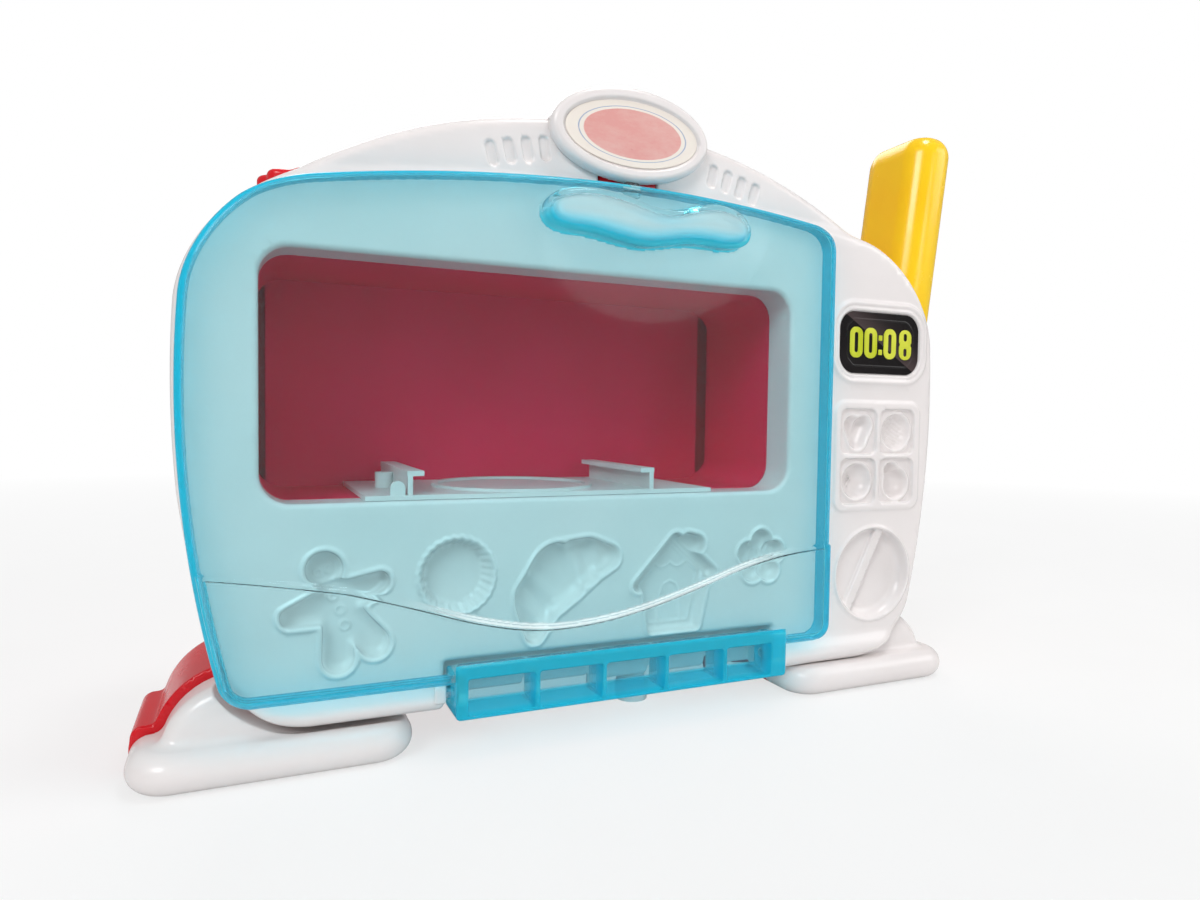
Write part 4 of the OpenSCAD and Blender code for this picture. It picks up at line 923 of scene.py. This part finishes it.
def make_label():
    """The plaque's blank label: a rose oval in a cream border with a thin line, rubbed in patches."""
    g = Grid((-30, -3.4, 213.5), (30, -1.6, 242.5), 0.25)
    x, y, z = g.x, g.y, g.z
    g.f = rmax(oval(x, z, 5.2), np.abs(y + 2.6) - 0.2, 0.12)
    m = Nodes("worn_label")
    split = m.add("ShaderNodeSeparateXYZ")
    m.link(m.place, split.inputs[0])
    across = m.math("MULTIPLY_ADD", split.outputs[0], 1 / 0.0278, MID[0] / 27.8)
    up = m.math("MULTIPLY_ADD", split.outputs[2], 1 / 0.0123, -PLAQUE_Z / 12.3)
    far = m.math("SQRT", m.math("ADD", m.math("MULTIPLY", across, across), m.math("MULTIPLY", up, up)))
    worn = m.noise(170, 6, 0.7)
    edge = m.math("ADD", far, m.math("MULTIPLY_ADD", worn, 0.02, -0.01))
    cream, rose, line = srgb(240, 232, 222), srgb(226, 158, 152), srgb(150, 166, 198)
    ring = m.ramp(edge, (0.0, rose), (0.735, rose), (0.745, cream), (0.80, cream), (0.806, line),
                  (0.818, line), (0.825, cream))
    rubbed = m.range(m.noise(60, 8, 0.75, (1, 1, 2.5, 0, 0.4, 0)), 0.0, 0.35, 0.42, 0.72)
    m.link(m.mix(rubbed, ring, srgb(238, 222, 214)), m.shader.inputs["Base Color"])
    m.link(m.range(worn, 0.25, 0.5), m.shader.inputs["Roughness"])
    m.bump(worn, 0.1, 0.00005)
    finished(surface("plaque_sticker", g, 0.0), "body", "label_pale", m.material, "plaque_label")


def make_timer():
    """The timer's dark window, with a sheen painted into its colour and split by a slanting line."""
    g = Grid((101, -1.2, 140.5), (151, 1.0, 170.5), 0.25)
    x, y, z = g.x, g.y, g.z
    d = pad(x, z, TIMER, 45.4, 27.4, 8.1)
    corners = (np.abs(x - TIMER[0]) + np.abs(z - TIMER[1])) / 1.414 - 18.2
    inner = rmax(pad(x, z, TIMER, 38, 20.6, 1.5), corners, 1.0)
    f = rmax(d, np.maximum(-0.2 - y, y - 0.25), 0.15)
    g.f = smin(f, rmax(np.abs(inner) - 0.35, np.abs(y + 0.15) - 0.18, 0.1), 0.1)
    m = Nodes("timer_face")
    split = m.add("ShaderNodeSeparateXYZ")
    m.link(m.place, split.inputs[0])
    u = m.math("ADD", split.outputs[0], (MID[0] - PANEL_X) / 1000)
    w = m.math("ADD", split.outputs[2], -TIMER[1] / 1000)
    slant = m.math("ADD", m.math("MULTIPLY", u, 0.53), m.math("MULTIPLY", w, 0.85))
    # Painted sheen: the black turns lighter just past the slanting line and fades back to dark beyond it.
    sheen = m.ramp(m.range(slant, 0, 1, -0.016, 0.016), (0.0, srgb(26, 22, 23)), (0.495, srgb(16, 13, 14)),
                   (0.505, srgb(74, 62, 62)), (0.8, srgb(34, 28, 29)), (1.0, srgb(20, 17, 18)))
    m.link(sheen, m.shader.inputs["Base Color"])
    m.link(m.range(m.noise(120, 4, 0.6), 0.12, 0.26), m.shader.inputs["Roughness"])
    m.bump(m.noise(300, 2, 0.5), 0.04, 0.00004)
    m.set(IOR=1.3)
    finished(surface("timer_glass", g, 0.0), "body", "label_dark", m.material, "timer_label")


def digit(x, z, cx):
    """A digit's outer edge."""
    return pad(x, z, (cx, TIMER[1]), 7.3, 13.6, 3.3)


def make_digits():
    """Four digits and a colon, a hair proud of the window."""
    g = Grid((106, -0.8, 147), (147, 0.1, 164), 0.15)
    x, y, z = g.x, g.y, g.z
    strokes = []
    for cx in (112.2, 120.3, 131.4):
        strokes.append(np.maximum(digit(x, z, cx), -pad(x, z, (cx, TIMER[1]), 1.9, 8.8, 0.9)))
    cx = 140.5
    gaps = least(pad(x, z, (cx, 158.9), 1.9, 3.4, 0.9), pad(x, z, (cx, 152.1), 1.9, 3.6, 0.9),
                 circle(x, z, (cx - 4.3, 155.6), 1.1), circle(x, z, (cx + 4.3, 155.6), 1.1))
    strokes.append(np.maximum(digit(x, z, cx), -gaps))
    for cz in (158.0, 151.6):
        strokes.append(pad(x, z, (125.9, cz), 2.2, 2.4, 0.3))
    g.f = rmax(least(*strokes), np.abs(y + 0.33) - 0.17, 0.1)
    m = Nodes("lit_digits")
    band = m.noise(140, 2, 0.5, (1, 1, 0.25, 0, 0, 0))
    green = m.ramp(band, (0.35, srgb(190, 200, 20)), (0.65, srgb(216, 220, 60)))
    m.link(green, m.shader.inputs["Base Color"])
    m.link(m.range(band, 0.25, 0.4), m.shader.inputs["Roughness"])
    m.bump(band, 0.05, 0.00003)
    finished(surface("timer_digits", g, 0.0), "body", "label_dark", m.material)


def make_spring():
    """The lift's return spring, a wire coil that moves with the plunger as one piece."""
    low, high, wire, radius = 46.2, 76.82, 0.6, 8.2
    turns, around, sides = 6, 28, 10
    n = turns * around
    rings = []
    for i in range(n + 1):
        a = 2 * math.pi * i / around
        h = low + wire + (high - low - 2 * wire) * i / n
        for k in range(sides):
            b = 2 * math.pi * k / sides
            r = radius + wire * math.cos(b)
            rings.append((LIFT[0] + r * math.cos(a), LIFT[1] + r * math.sin(a), h + wire * math.sin(b)))
    faces = []
    for i in range(n):
        p, q = i * sides, (i + 1) * sides
        faces += [(p + k, q + k, q + (k + 1) % sides, p + (k + 1) % sides) for k in range(sides)]
    faces += [tuple(range(sides)), tuple(reversed(range(n * sides, (n + 1) * sides)))]
    me = bpy.data.meshes.new("lift_spring")
    me.from_pydata([row(p).tolist() for p in rings], [], [f[::-1] for f in faces])
    me.validate()
    me.shade_smooth()
    ob = placed("lift_spring", me)
    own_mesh(finished(ob, "plunger", "steel", STEEL, "return_spring"))


make_front()
make_rear()
make_door()
make_feet()
make_grip()
make_dial()
make_plaque()
make_label()
make_timer()
make_digits()
make_spring()

# ---------------------------------------------------------------- the CAD nodes that stay
LOOKS = {
    "oven_liner": CHAMBER, "floor_plate": INNER, "lift_disc": INNER, "plunger_foot": RED,
    "plunger_guide": INNER, "lever_arm": YELLOW, "latch_catch": RED, "battery_box": INNER,
    "battery_door": RED, "batteries": CELL, "sound_board": BOARD, "speaker": BLACK, "lever_switch": BLACK,
    "middle_foot": WHITE}
BEVELS = {"floor_plate": 0.0005, "battery_door": 0.0006, "lift_disc": 0.0004, "middle_foot": 0.001,
          "latch_catch": 0.0004, "lever_arm": 0.0006}


def dress_nodes():
    """Gives each node that still shows its material, and softens the edges of those that are seen."""
    for name, ob in nodes.items():
        if ob.hide_render:
            continue
        look = LOOKS.get(name, STEEL)
        if not ob.material_slots:
            ob.data.materials.append(look)
        for slot in ob.material_slots:
            slot.material = look
    for name, width in BEVELS.items():
        ob = nodes[name]
        bevel = ob.modifiers.new("soft_edge", "BEVEL")
        bevel.width, bevel.segments, bevel.use_clamp_overlap = width, 2, True
        bevel.limit_method, bevel.angle_limit = "ANGLE", math.radians(40)
        ob.modifiers.new("even_normals", "WEIGHTED_NORMAL").keep_sharp = False


dress_nodes()


# ---------------------------------------------------------------- stage, light and camera
def make_floor():
    """A pale floor that keeps the shadow near the toy and shows white to the camera further out."""
    me = bpy.data.meshes.new("floor")
    me.from_pydata([(-8, -8, 0), (8, -8, 0), (8, 8, 0), (-8, 8, 0)], [], [(0, 1, 2, 3)])
    placed("floor", me)
    m = Nodes("floor_paint")
    paint = m.ramp(m.noise(4, 3), (0.3, (0.80, 0.80, 0.80, 1)), (0.7, (0.84, 0.84, 0.84, 1)))
    m.link(paint, m.shader.inputs["Base Color"])
    m.link(m.range(m.noise(30, 3), 0.55, 0.7), m.shader.inputs["Roughness"])
    ray = m.add("ShaderNodeLightPath")
    seen = m.math("MAXIMUM", ray.outputs["Is Camera Ray"], ray.outputs["Is Transmission Ray"])
    far = m.add("ShaderNodeVectorMath", operation="LENGTH")
    m.link(m.place, far.inputs[0])
    share = m.math("MULTIPLY", seen, m.range(far.outputs["Value"], 0.66, 1.0, 0.3, 1.5))
    m.instead(share, m.add("ShaderNodeEmission"))
    me.materials.append(m.material)


def make_world():
    """A dim white light all round, which the camera and the door see as white."""
    world = bpy.data.worlds.new("studio")
    bpy.context.scene.world = world
    world.use_nodes = True
    tree = world.node_tree
    tree.nodes.clear()
    out, back, ray, seen, level = (tree.nodes.new("ShaderNode" + kind) for kind in (
        "OutputWorld", "Background", "LightPath", "Math", "MapRange"))
    seen.operation = "MAXIMUM"
    tree.links.new(ray.outputs["Is Camera Ray"], seen.inputs[0])
    tree.links.new(ray.outputs["Is Transmission Ray"], seen.inputs[1])
    level.inputs["To Min"].default_value = 0.36
    level.inputs["To Max"].default_value = 1.0
    tree.links.new(seen.outputs[0], level.inputs["Value"])
    tree.links.new(level.outputs[0], back.inputs["Strength"])
    back.inputs["Color"].default_value = (1, 1, 1, 1)
    tree.links.new(back.outputs[0], out.inputs[0])


def lamp(name, at, to, size, power, shape="RECTANGLE"):
    """An area lamp at one point that looks to another."""
    data = bpy.data.lights.new(name, "AREA")
    data.shape, data.size, data.size_y, data.energy = shape, size[0], size[1], power
    ob = placed(name, data)
    ob.location = at
    ob.rotation_mode = "QUATERNION"
    ob.rotation_quaternion = (Vector(to) - Vector(at)).to_track_quat("-Z", "Y")


make_floor()
make_world()
lamp("key", (-1.15, -1.15, 1.2), (0, 0, 0.12), (0.8, 0.6), 15)
lamp("fill", (1.6, -0.9, 1.0), (0, 0, 0.12), (1.0, 0.8), 6.5)
for size, power in ((0.5, 1.1), (0.34, 0.8), (0.18, 0.5)):
    lamp("front", (0.67, -1.34, 0.53), (0, 0, 0.13), (size, 0.8 * size), power, "ELLIPSE")
lamp("ceiling", (0.25, -0.25, 1.25), (0, 0, 0.1), (0.34, 0.22), 4.2)
lamp("back", (0.2, 1.2, 1.3), (0, 0, 0.1), (1.0, 0.8), 8)


def make_camera():
    """The photograph's camera: a focal length of 800 pixels for a width of 1200."""
    data = bpy.data.cameras.new("camera")
    data.sensor_width, data.lens, data.sensor_fit = 36, 24.0, "HORIZONTAL"
    data.clip_start, data.clip_end = 0.01, 50
    camera = placed("camera", data)
    yaw, pitch, roll = (math.radians(v) for v in (23.85, 2.29, 0.784))
    ahead = Vector((math.sin(yaw) * math.cos(pitch), math.cos(yaw) * math.cos(pitch), -math.sin(pitch)))
    right = Vector((math.cos(yaw), -math.sin(yaw), 0))
    above = right.cross(ahead)
    across = right * math.cos(roll) + above * math.sin(roll)
    up = above * math.cos(roll) - right * math.sin(roll)
    turn = Matrix((across, up, -ahead)).transposed().to_4x4()
    camera.matrix_world = Matrix.Translation(Vector(row(EYE))) @ turn
    bpy.context.scene.camera = camera


make_camera()
bpy.context.scene.view_settings.view_transform = "Standard"
